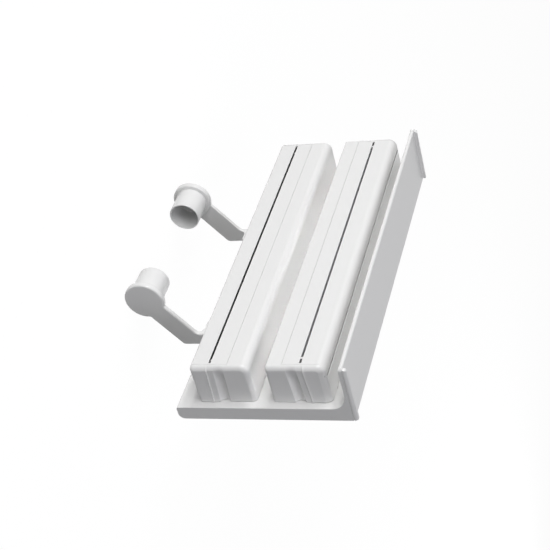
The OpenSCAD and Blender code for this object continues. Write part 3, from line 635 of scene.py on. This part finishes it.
class EndCap:
    """The right-hand end cap of a box, in millimetres: its moulded body, its foot and two tongues.

    The body's outer face is a height over the box's outline, from the side below (q = 0) to the side
    above, and from the plate (v = 0) to the front. The height is the cap's thickness less the step and the
    finger groove, times two rolls. Step and groove lean to the hinge side."""

    def __init__(self, box, shape):
        self.shape = shape
        self.upper = box == "upper"
        self.low, self.high = node_box(f"{box}_tray")
        cap_low, cap_high = node_box(f"{box}_right_cap")
        self.tongue_end = cap_low[0]
        self.width = self.high[2] - self.low[2]
        self.depth = self.high[1] - self.low[1]
        self.inner = self.high[0]
        self.thick = cap_high[0] - self.inner
        shift = shape.upper_shift if self.upper else 0.0
        self.groove_at = shape.groove_place + shift
        self.step_at = shape.step_place + shift
        self.groove_half = 0.5 * shape.groove_width
        self.side_reach = shape.upper_roll if self.upper else shape.side_roll
        self.cut = 1.0 - math.cos(shape.roll_sweep)
        self.slant = math.tan(shape.lean)

    def reach(self, turn):
        """Reach of the wide roll, from the front (turn 0) evenly round the corner to the side above."""
        front = self.shape.front_roll
        return front + (self.side_reach - front) * turn / (0.5 * np.pi)

    def inset(self, share, turn):
        """Distance from the outline, which reaches the end of the roll at 1 and the corner's centre at 2."""
        end = self.reach(turn)
        return np.where(share > 1.0, end + (self.shape.top_corner - end) * (share - 1.0), end * share)

    def lines_across(self):
        """Places of the grid's lines as far as the corner above. They lie close in the narrow roll, at the
        step and in the groove, where they go by the sine, and evenly elsewhere. An even line less than half
        a millimetre from a close one is left out."""
        lips = self.groove_half * np.linspace(1.04, 1.3, 6)
        close = np.concatenate([
            self.step_at + np.linspace(-3.0, 0.6, 17),
            self.groove_at + self.groove_half * np.sin(np.linspace(-0.5, 0.5, 29) * np.pi),
            self.groove_at + lips,
            self.groove_at - lips])
        close = self.width - close if self.upper else close
        narrow = self.shape.narrow_roll
        plain = np.linspace(narrow, self.width - self.shape.top_corner, 40)[1:-1]
        clear = np.abs(plain[:, None] - close[None, :]).min(axis=1) > 0.5
        return np.sort(np.concatenate([quarter_round(narrow, 7), close, plain[clear]]))

    def corner_block(self, shares):
        """The grid at the corner above: each ring keeps a share of the distance from the outline to the
        corner's centre, and its points go evenly from the front round to the side above."""
        last = len(shares) - 1
        row, column = np.indices((last + 1, last + 1))[:, ::-1, ::-1]
        ring = np.minimum(row, column)
        turn = 0.25 * np.pi * (1.0 + (row - column) / np.maximum(last - ring, 1))
        top_r = self.shape.top_corner
        radius = top_r - self.inset(shares[ring], turn)
        return self.width - top_r + radius * np.sin(turn), self.depth - top_r + radius * np.cos(turn)

    def grid(self):
        """Places q and v of the whole grid: a block up to the corner above, whose lines follow the round of
        the corner below, and beside it the block that follows the wide roll round the corner above. In
        the middle the lines lean with step and groove."""
        shape, width, depth = self.shape, self.width, self.depth
        foot, top_r, low_r = shape.foot_line, shape.top_corner, shape.low_corner
        bow_in = (1.0 - np.cos(np.linspace(0.0, shape.roll_sweep, 11))) / self.cut
        shares = np.concatenate([bow_in, np.linspace(1.0, 2.0, 6)[1:]])
        flat_q = self.lines_across()
        flat_v = np.linspace(foot, depth - top_r, 14)[:-1]
        rows_v = np.concatenate([flat_v, (depth - self.inset(shares, 0.0))[::-1]])
        side_q = (width - self.inset(shares, 0.5 * np.pi))[::-1]
        arch = np.sqrt(np.clip(low_r ** 2 - np.clip(low_r - flat_q, 0.0, low_r) ** 2, 0.0, None)) - low_r
        main_v = rows_v[:, None] + (rows_v[:, None] - foot) / (depth - foot) * arch[None, :]
        main_q = np.broadcast_to(flat_q, main_v.shape)
        corner_q, corner_v = self.corner_block(shares)
        beside_q = np.concatenate([np.broadcast_to(side_q, (len(flat_v), len(shares))), corner_q])
        beside_v = np.concatenate([np.repeat(flat_v[:, None], len(shares), axis=1), corner_v])
        q = np.concatenate([main_q, beside_q], axis=1)
        v = np.concatenate([main_v, beside_v], axis=1)
        middle = ease((q - LEAN_START) / LEAN_RUN) * ease((width - top_r - q) / LEAN_RUN)
        side = -1.0 if self.upper else 1.0
        return q - side * self.slant * (depth - v) * middle, v

    def past(self, place, q, v):
        """Distance past a place across the box, which leans to the hinge side towards the plate."""
        u = self.width - q if self.upper else q
        return u - place + (self.depth - v) * self.slant

    def step(self, q, v):
        """How far the step lowers the face: by its height past its edge, and on its high side by a share of
        that, which grows away from the edge as one less an exponential."""
        beyond = self.past(self.step_at, q, v)
        drop = ease(beyond / STEP_EDGE + 0.5)
        fall = 1.0 - np.exp(-np.clip(-beyond / self.shape.crest_width, 0.0, None))
        return self.shape.step_height * (drop + (1.0 - drop) * self.shape.crest * fall)

    def groove(self, q, v):
        """Depth of the finger groove: an arc of a circle with soft lips, shallower at the front. Far from the
        groove, the distance from its middle is held just inside the circle."""
        half, deep = self.groove_half, self.shape.groove_depth
        bow = (half ** 2 + deep ** 2) / (2.0 * deep)
        off = np.clip(np.abs(self.past(self.groove_at, q, v)), 0.0, 0.98 * bow)
        bowl = np.sqrt(bow ** 2 - off ** 2) - bow + deep
        inwards = ease((self.depth - v - self.shape.groove_start) / self.shape.groove_run)
        fade = self.shape.groove_front + (1.0 - self.shape.groove_front) * inwards
        return 0.5 * (bowl + np.sqrt(bowl ** 2 + LIP_SOFTNESS)) * fade

    def wide_roll(self, q, v):
        """Rise of the roll along the front and the side above, round their corner. At a share s of its reach
        from the outline it is sqrt(1 - (1 - s (1 - cos a)) squared) / sin a, the first part of a quarter
        round that turns by the angle a, so that it meets the flat end in a crease."""
        top_r = self.shape.top_corner
        over_q = np.clip(q - self.width + top_r, 0.0, None)
        over_v = np.clip(v - self.depth + top_r, 0.0, None)
        at_corner = (over_q > 0.0) & (over_v > 0.0)
        straight = np.minimum(self.width - q, self.depth - v)
        inwards = np.where(at_corner, top_r - np.hypot(over_q, over_v), straight)
        share = np.clip(inwards / self.reach(np.arctan2(over_q, over_v)), 0.0, 1.0)
        return np.sqrt(1.0 - (1.0 - self.cut * share) ** 2) / math.sin(self.shape.roll_sweep)

    def narrow_roll(self, q, v):
        """Rise of the roll along the side below and round its corner: a whole quarter round."""
        low_r, narrow = self.shape.low_corner, self.shape.narrow_roll
        over_v = np.clip(v - self.depth + low_r, 0.0, None)
        at_corner = (q < low_r) & (over_v > 0.0)
        inwards = np.where(at_corner, low_r - np.hypot(np.clip(low_r - q, 0.0, None), over_v), q)
        rise = np.sqrt(1.0 - (1.0 - np.clip(inwards / narrow, 0.0, 1.0)) ** 2)
        return 1.0 - narrow / self.thick * (1.0 - rise)

    def height(self, q, v):
        """Height of the outer face over the end of the tray."""
        full = self.thick - CAP_RIM - self.step(q, v) - self.groove(q, v)
        return CAP_RIM + full * self.wide_roll(q, v) * self.narrow_roll(q, v)

    def skin(self, x, q, v):
        """A closed skin from the end of the tray out to x, over places q and v."""
        y, z = self.high[1] - v, self.low[2] + q
        return two_sided_shell(np.stack([x, y, z], axis=-1), np.stack([self.inner + 0.0 * q, y, z], axis=-1))

    def tongues(self):
        """Two plates that reach into the tray, one along its floor and one up its far wall. Their roots stand
        in the body, past their round."""
        wall = self.shape.tongue_wall
        gap = wall + self.shape.tongue_gap
        far = self.low[2] + gap if self.upper else self.high[2] - gap - wall
        back = self.high[1] - gap
        root = self.inner + 2.5 * TONGUE_EDGE
        end = self.tongue_end
        return [
            bar((end, back - wall, self.low[2] + gap), (root, back, self.high[2] - gap), TONGUE_EDGE),
            bar((end + SEAT, back - self.shape.tongue_height, far + SEAT),
                (root + SEAT, back - 0.5 * wall, far + wall - SEAT), TONGUE_EDGE)]

    def shells(self):
        """All skins of the cap. The foot is the body's edge at the plate, set back by the shadow line."""
        foot = self.shape.foot_line
        q, v = self.grid()
        body = self.skin(self.inner + self.height(q, v), q, v)
        foot_q = np.clip(q[:1], foot, self.width - foot) * np.ones((2, 1))
        foot_v = np.array([[0.0], [foot + FOOT_LAP]]) * np.ones_like(foot_q)
        foot_x = self.inner + self.height(foot_q, np.full_like(foot_q, foot)) - foot
        base = self.skin(np.maximum(foot_x, self.inner + CAP_RIM), foot_q, foot_v)
        return [body, base, *self.tongues()]


class Arm:
    """The right-hand arm, in millimetres: strap with disc, hub with plug, foot and neck."""

    def __init__(self, shape):
        self.shape = shape
        self.low, self.high = node_box("right_arm")
        self.plate_low = node_box("back_plate")[0][2]
        self.plate_front = node_box("lower_tray")[1][1]
        self.axis = self.low[1:] + shape.disc_radius
        self.back = self.high[1]
        self.front = self.back - shape.root_depth
        self.top = self.plate_low - shape.clearance
        self.outer = self.high[0]
        self.inner = self.outer - shape.strap_thick
        self.foot_end = self.outer - shape.foot_length

    def strap(self):
        """Strap and disc, carried along X. The outline in Y and Z goes up the wall's side, over the root,
        down the front, round the hollow of the bend, along the strap, round the disc and back to the bend,
        all in arcs and the lines between them."""
        shape, axis = self.shape, self.axis
        disc, half, corner = shape.disc_radius, 0.5 * shape.strap_width, shape.outer_edge + CORNER_SPARE
        join_r, hollow_r, bend_r = shape.join_radius, shape.hollow_radius, shape.bend_radius
        bend = np.array([0.5 * self.plate_front, self.plate_low - shape.bend_drop])
        slope = math.degrees(math.atan2(*(axis - bend)[::-1])) % 360.0
        along = np.array([math.cos(math.radians(slope)), math.sin(math.radians(slope))])
        down = np.array([-along[1], along[0]])

        def on_strap(y, off):
            """The point at depth y on a line along the strap, off to its wall's side."""
            start = bend + off * down
            return start + along * (y - start[0]) / along[0]

        reach = math.sqrt((disc + join_r) ** 2 - (half + join_r) ** 2)
        lift = math.degrees(math.asin((half + join_r) / (disc + join_r)))
        join = axis - reach * along
        aside = (half + join_r) * down
        turn = slope - 270.0
        arcs = [
            ((self.back - corner, self.top - corner), corner, 0.0, 90.0),
            ((self.front + corner, self.top - corner), corner, 90.0, 180.0),
            (on_strap(self.front - hollow_r, -half - hollow_r), hollow_r, 0.0, turn),
            (join - aside, join_r, turn, turn - 90.0 + lift),
            (axis, disc, slope - 180.0 + lift, slope + 180.0 - lift),
            (join + aside, join_r, slope - lift, turn + 180.0),
            (on_strap(self.back - bend_r, half - bend_r), bend_r, turn, 0.0)]
        return rounded_slab(arcs, self.inner, self.outer, (shape.edge_radius, shape.outer_edge), ALONG_X)

    def hub(self):
        """Disc and plug: a profile turned about the roll's axis. It goes out along the disc, round its rim,
        into the hollow round at the plug, round the plug's lip and back down its inside."""
        shape = self.shape
        face = self.outer - shape.disc_thick
        middle = self.outer - 0.5 * shape.strap_thick
        disc, rim = shape.disc_radius - SEAT, shape.rim_radius
        plug, wall, fillet = shape.plug_radius, shape.plug_wall, shape.plug_fillet
        lip = 0.5 * wall
        profile = np.concatenate([
            [[0.0, middle], [disc, middle]],
            arc((disc - rim, face + rim), rim, 0.0, -90.0, 9),
            arc((plug + fillet, face - fillet), fillet, 90.0, 180.0, 9),
            arc((plug - shape.plug_taper - lip, self.low[0] + lip), lip, 0.0, -180.0, 13),
            arc((plug - wall - fillet, face - fillet), fillet, 0.0, 90.0, 9),
            [[0.0, face]]])
        return turned(profile, (0.0, *self.axis), ALONG_X, count=96)

    def foot(self):
        """The foot below the plate: an outline in X and Z, hollow towards the strap, carried along Y."""
        shape = self.shape
        edge, hollow_r = 0.5 * shape.edge_radius, shape.foot_fillet
        corner = edge + CORNER_SPARE
        sole, root = self.top - shape.foot_thick, self.inner + SEAT
        left, right = self.foot_end + corner, self.outer - shape.outer_edge - corner
        up, down = self.top - SEAT - corner, sole - hollow_r - corner
        arcs = [
            ((right, up), corner, 0.0, 90.0),
            ((left, up), corner, 90.0, 180.0),
            ((left, sole + corner), corner, 180.0, 270.0),
            ((root - hollow_r, sole - hollow_r), hollow_r, 90.0, 0.0),
            ((root + corner, down), corner, 180.0, 270.0),
            ((right, down), corner, 270.0, 360.0)]
        return rounded_slab(arcs, self.front + SEAT, self.back - SEAT, (edge, edge), ALONG_Y)

    def neck(self):
        """The neck over the middle of the foot, which stands in the plate's slot."""
        shape = self.shape
        middle, half = 0.5 * (self.foot_end + self.outer), 0.5 * shape.neck_length
        front = self.plate_front + shape.neck_place
        return bar((middle - half, front, self.top - shape.edge_radius),
                   (middle + half, front + shape.neck_depth, self.high[2]), NECK_EDGE)

    def shells(self):
        """All skins of the arm."""
        return [self.strap(), self.hub(), self.foot(), self.neck()]


def cutter_shell(box, shape):
    """A toothed strip, as a height over its length and width. Its edge is a row of triangles of one pitch,
    and within the grind's reach of that edge its thickness falls evenly to a thin edge."""
    low, high = node_box(f"{box}_cutter")
    teeth = round((high[0] - low[0]) / shape.pitch)
    x = np.linspace(low[0], high[0], 4 * teeth + 1)
    wave = np.abs((x - low[0]) / shape.pitch % 1.0 - 0.5) * 2.0
    back, tip = (low[2], high[2]) if box == "upper" else (high[2], low[2])
    edge = tip + np.sign(back - tip) * wave * shape.tooth_height
    share = np.concatenate([[0.0, 0.02], np.linspace(0.1, 0.8, 5), np.linspace(0.82, 1.0, 8)])
    z = back + share[:, None] * (edge - back)[None, :]
    ground = np.clip(np.abs(z - edge[None, :]) / shape.grind, 0.0, 1.0)
    thick = (high[1] - low[1]) * (shape.edge_share + (1.0 - shape.edge_share) * ground)
    along = np.broadcast_to(x, z.shape)
    under = np.stack([along, np.full_like(z, low[1]), z], axis=-1)
    over = np.stack([along, low[1] + thick, z], axis=-1)
    return two_sided_shell(over, under)


def rivet_shells(box, shape):
    """Rivets in an even row: a profile turned about Y, with a shank, a flat seat, a brim and a low dome
    that is a quarter of an ellipse."""
    low, high = node_box(f"{box}_cutter_rivets")
    seat = node_box(f"{box}_cutter")[1][1]
    head = 0.5 * (high[2] - low[2])
    shank, nose = shape.shank_share * head, shape.nose_share * head
    brim = seat + shape.brim_share * (high[1] - seat)
    profile = np.concatenate([
        [[0.0, low[1]], [nose, low[1]], [shank, low[1] + shape.nose_height], [shank, seat]],
        [[head, seat], [head, brim]],
        [[0.0, brim]] + arc((0.0, 0.0), 1.0, 4.0, 90.0, 12) * [head, high[1] - brim]])
    places = np.linspace(low[0] + head, high[0] - head, shape.rivets)
    middle = 0.5 * (low[2] + high[2])
    return [turned(profile, (x, 0.0, middle), ALONG_Y, count=32) for x in places]


# Finishing of the frame's own nodes

def soften(name, radius, finish):
    """Rounds the crisp edges of one of the frame's nodes with modifiers, and gives it its finish."""
    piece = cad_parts[name]
    weld = piece.modifiers.new("Merge", "WELD")
    weld.merge_threshold = 2e-6
    flat = piece.modifiers.new("Flat Faces", "DECIMATE")
    flat.decimate_type = "DISSOLVE"
    flat.angle_limit = math.radians(0.2)
    bevel = piece.modifiers.new("Moulded Edges", "BEVEL")
    bevel.limit_method = "ANGLE"
    bevel.angle_limit = math.radians(35.0)
    bevel.width = radius
    bevel.segments = 2
    bevel.use_clamp_overlap = False
    shade = piece.modifiers.new("Even Shading", "WEIGHTED_NORMAL")
    shade.keep_sharp = False
    piece.data.materials.clear()
    piece.data.materials.append(look(finish))


# Operators, one for each group of like pieces

class DISPENSER_OT_back_plate(bpy.types.Operator):
    """Finishes the back plate with its shelf"""
    bl_idname = "dispenser.back_plate"
    bl_label = "Back Plate"

    def execute(self, context):
        soften("back_plate", context.scene.dispenser_plastic.edge_break, "white_plastic")
        return {"FINISHED"}


class DISPENSER_OT_boxes(bpy.types.Operator):
    """Finishes trays and lids"""
    bl_idname = "dispenser.boxes"
    bl_label = "Trays and Lids"

    def execute(self, context):
        for box in BOXES:
            for part in ("tray", "lid"):
                soften(f"{box}_{part}", context.scene.dispenser_plastic.edge_break, "white_plastic")
        return {"FINISHED"}


class DISPENSER_OT_end_caps(bpy.types.Operator):
    """Makes the four end caps with their rolls, steps and finger grooves"""
    bl_idname = "dispenser.end_caps"
    bl_label = "End Caps"

    def execute(self, context):
        shape = in_millimetres(context.scene.dispenser_caps)
        for box in BOXES:
            shells = EndCap(box, shape).shells()
            for side in SIDES:
                name = f"{box}_{side}_cap"
                mesh = united(name, on_side(shells, side))
                dress(f"{name}_moulding", mesh, "base", "white_plastic", [name])
        return {"FINISHED"}


class DISPENSER_OT_arms(bpy.types.Operator):
    """Makes both arms with their discs and plugs"""
    bl_idname = "dispenser.arms"
    bl_label = "Arms"

    def execute(self, context):
        shells = Arm(in_millimetres(context.scene.dispenser_arms)).shells()
        for side in SIDES:
            name = f"{side}_arm"
            mesh = united(name, on_side(shells, side))
            dress(f"{name}_moulding", mesh, name, "white_plastic", [name])
        return {"FINISHED"}


class DISPENSER_OT_cutters(bpy.types.Operator):
    """Makes the ground cutters and their domed rivets"""
    bl_idname = "dispenser.cutters"
    bl_label = "Cutters and Rivets"

    def execute(self, context):
        shape = in_millimetres(context.scene.dispenser_cutters)
        for box in BOXES:
            name = f"{box}_cutter"
            strip = united(name, [cutter_shell(box, shape)])
            dress(f"{name}_strip", strip, f"{box}_lid", "cutter_steel", [name])
            row = united(f"{name}_rivets", rivet_shells(box, shape))
            dress(f"{name}_rivet_row", row, f"{box}_lid", "fastener_steel", [f"{name}_rivets"])
        return {"FINISHED"}


class DISPENSER_OT_inner_plastic(bpy.types.Operator):
    """Finishes the rear cover and the shoes"""
    bl_idname = "dispenser.inner_plastic"
    bl_label = "Rear Cover and Shoes"

    def execute(self, context):
        for name in ("rear_cover", "left_shoe", "right_shoe"):
            soften(name, context.scene.dispenser_plastic.edge_break, "inner_plastic")
        return {"FINISHED"}


class DISPENSER_OT_metal(bpy.types.Operator):
    """Finishes pins and screws"""
    bl_idname = "dispenser.metal"
    bl_label = "Pins and Screws"

    def execute(self, context):
        radius = context.scene.dispenser_metal.edge_break
        soften("cover_screws", radius, "fastener_steel")
        for box in BOXES:
            for part in ("hinge_pins", "tray_screws"):
                soften(f"{box}_{part}", radius, "fastener_steel")
        for side in SIDES:
            soften(f"{side}_shoe_screw", radius, "fastener_steel")
        return {"FINISHED"}


# Stage

def seen_mask(tree):
    """One for camera, glossy and transmission rays, which see the pale background, and zero for others."""
    path = node(tree, "ShaderNodeLightPath")
    first = math_node(tree, "MAXIMUM", path.outputs["Is Camera Ray"], path.outputs["Is Glossy Ray"])
    return math_node(tree, "MAXIMUM", first, path.outputs["Is Transmission Ray"])


def mix_shaders(tree, share, first, second, output):
    """Mixes two shaders by a share of the second, into the surface of an output node."""
    mix = node(tree, "ShaderNodeMixShader")
    tree.links.new(share, mix.inputs[0])
    tree.links.new(first.outputs[0], mix.inputs[1])
    tree.links.new(second.outputs[0], mix.inputs[2])
    tree.links.new(mix.outputs[0], tree.nodes[output].inputs["Surface"])


def white_world(stage):
    """White where it is seen, and a dim even light for the rest."""
    world = bpy.data.worlds.new("Studio")
    world.use_nodes = True
    tree = world.node_tree
    white = tree.nodes["Background"]
    white.inputs["Color"].default_value = (1.0, 1.0, 1.0, 1.0)
    white.inputs["Strength"].default_value = 1.0
    dim = node(tree, "ShaderNodeBackground")
    dim.inputs["Color"].default_value = opaque(stage.ambient_colour)
    dim.inputs["Strength"].default_value = stage.ambient
    mix_shaders(tree, seen_mask(tree), dim, white, "World Output")
    bpy.context.scene.world = world


def floor_material(stage):
    """Pale matt floor. Where it is seen, most of it is white light, and a share is its own shading."""
    material = bpy.data.materials.new("pale_floor")
    material.use_nodes = True
    tree = material.node_tree
    tree.nodes.remove(tree.nodes["Principled BSDF"])
    matt = node(tree, "ShaderNodeBsdfDiffuse")
    matt.inputs["Color"].default_value = opaque(stage.floor_colour)
    glow = node(tree, "ShaderNodeEmission")
    glow.inputs["Strength"].default_value = stage.floor_glow
    share = math_node(tree, "MULTIPLY", seen_mask(tree), 1.0 - stage.shadow_share)
    mix_shaders(tree, share, matt, glow, "Material Output")
    return material


def pale_floor(stage, level):
    """A wide square floor at a level."""
    half = stage.floor_half
    mesh = bpy.data.meshes.new("floor")
    corners = [(-half, -half, level), (half, -half, level), (half, half, level), (-half, half, level)]
    mesh.from_pydata(corners, [], [(0, 1, 2, 3)])
    mesh.materials.append(floor_material(stage))
    floor = bpy.data.objects.new("floor", mesh)
    bpy.context.scene.collection.objects.link(floor)


def soft_lamp(name, place, aim, size, power):
    """A lamp of that width and height, which faces its aim."""
    data = bpy.data.lights.new(name, "AREA")
    data.shape = "RECTANGLE"
    data.size, data.size_y = size
    data.energy = power
    lamp = bpy.data.objects.new(name, data)
    bpy.context.scene.collection.objects.link(lamp)
    lamp.location = place
    lamp.rotation_euler = (Vector(aim) - Vector(place)).to_track_quat("-Z", "Y").to_euler()
    lamp.visible_camera = False
    return lamp


def gap_lamp(name, low, high, fall, power):
    """A gridded light in front of a gap that runs along the boxes, slim towards both ends. It can fall into
    the gap at an angle, so that it meets the wall below and not the plate behind."""
    box_low, box_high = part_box("lower_tray")
    mouth = Vector((0.0, box_low.y, 0.5 * (low + high)))
    place = mouth + GAP_LAMP_REACH * Vector((0.0, -math.cos(fall), math.sin(fall)))
    size = (GAP_LAMP_LENGTH * box_high.x, GAP_LAMP_HEIGHT * (high - low) * math.cos(fall))
    lamp = soft_lamp(name, place, mouth, size, power)
    lamp.data.shape = "ELLIPSE"
    lamp.data.spread = GAP_LAMP_SPREAD
    lamp.visible_glossy = False


def studio_lamps(stage, middle):
    """The soft lamps round the part, and the narrow lights in front of its two gaps."""
    lamps = {}
    for name, (power, offset, size) in LAMPS.items():
        lamps[name] = soft_lamp(name, middle + Vector(offset), middle, size, getattr(stage, power))
    lamps["top_lamp"].data.color = stage.top_colour
    lamps["back_lamp"].visible_glossy = False
    lower_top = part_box("lower_tray")[1].z
    upper_low, upper_top = (corner.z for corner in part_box("upper_tray"))
    gap_lamp("gap_fill", lower_top, upper_low, GAP_FALL, stage.gap_power)
    shelf_low = upper_top + SHELF_GAP * MM
    gap_lamp("shelf_fill", shelf_low - SHELF_LIGHT * MM, shelf_low, 0.0, stage.shelf_share * stage.gap_power)


def studio_camera(stage):
    """A camera that looks at its aim, turned about its view by the roll."""
    data = bpy.data.cameras.new("Camera")
    data.sensor_width = 36.0
    data.lens = stage.camera_lens
    camera = bpy.data.objects.new("Camera", data)
    bpy.context.scene.collection.objects.link(camera)
    place = Vector(stage.camera_place)
    level = (Vector(stage.camera_aim) - place).to_track_quat("-Z", "Y").to_matrix().to_4x4()
    camera.matrix_world = Matrix.Translation(place) @ level @ Matrix.Rotation(stage.camera_roll, 4, "Z")
    bpy.context.scene.camera = camera


class DISPENSER_OT_stage(bpy.types.Operator):
    """Makes the floor, the world, the lamps and the camera"""
    bl_idname = "dispenser.stage"
    bl_label = "Stage"

    def execute(self, context):
        stage = context.scene.dispenser_stage
        low, high = CAD_BOX
        pale_floor(stage, low.z)
        white_world(stage)
        studio_lamps(stage, (low + high) / 2)
        studio_camera(stage)
        context.scene.view_settings.view_transform = "Standard"
        return {"FINISHED"}


class DISPENSER_PT_sidebar(bpy.types.Panel):
    """Sizes, colours and steps of the dispenser"""
    bl_idname = "DISPENSER_PT_sidebar"
    bl_label = "Kitchen Roll Dispenser"
    bl_space_type = "VIEW_3D"
    bl_region_type = "UI"
    bl_category = "Dispenser"

    def draw(self, context):
        for name in GROUPS:
            group = getattr(context.scene, name)
            box = self.layout.box()
            for key in group.__annotations__:
                box.prop(group, key)
        for step in STEPS:
            self.layout.operator(step.bl_idname)


STEPS = (
    DISPENSER_OT_stage, DISPENSER_OT_back_plate, DISPENSER_OT_boxes, DISPENSER_OT_end_caps,
    DISPENSER_OT_arms, DISPENSER_OT_inner_plastic, DISPENSER_OT_cutters, DISPENSER_OT_metal,
)
GROUPS = {
    "dispenser_plastic": PlasticLook,
    "dispenser_caps": CapShape,
    "dispenser_arms": ArmShape,
    "dispenser_cutters": CutterShape,
    "dispenser_metal": MetalLook,
    "dispenser_stage": StudioStage,
}


def register():
    """Makes the property groups, the operators and the panel known to Blender."""
    for name, group in GROUPS.items():
        bpy.utils.register_class(group)
        setattr(bpy.types.Scene, name, bpy.props.PointerProperty(type=group))
    for step in STEPS:
        bpy.utils.register_class(step)
    bpy.utils.register_class(DISPENSER_PT_sidebar)


def unregister():
    """Takes them away again, in the reverse order."""
    bpy.utils.unregister_class(DISPENSER_PT_sidebar)
    for step in reversed(STEPS):
        bpy.utils.unregister_class(step)
    for name, group in reversed(GROUPS.items()):
        delattr(bpy.types.Scene, name)
        bpy.utils.unregister_class(group)


def main():
    """Builds the dispenser and its stage."""
    register()
    bpy.ops.dispenser.stage()
    bpy.ops.dispenser.back_plate()
    bpy.ops.dispenser.boxes()
    bpy.ops.dispenser.end_caps()
    bpy.ops.dispenser.arms()
    bpy.ops.dispenser.inner_plastic()
    bpy.ops.dispenser.cutters()
    bpy.ops.dispenser.metal()


if __name__ == "__main__":
    main()
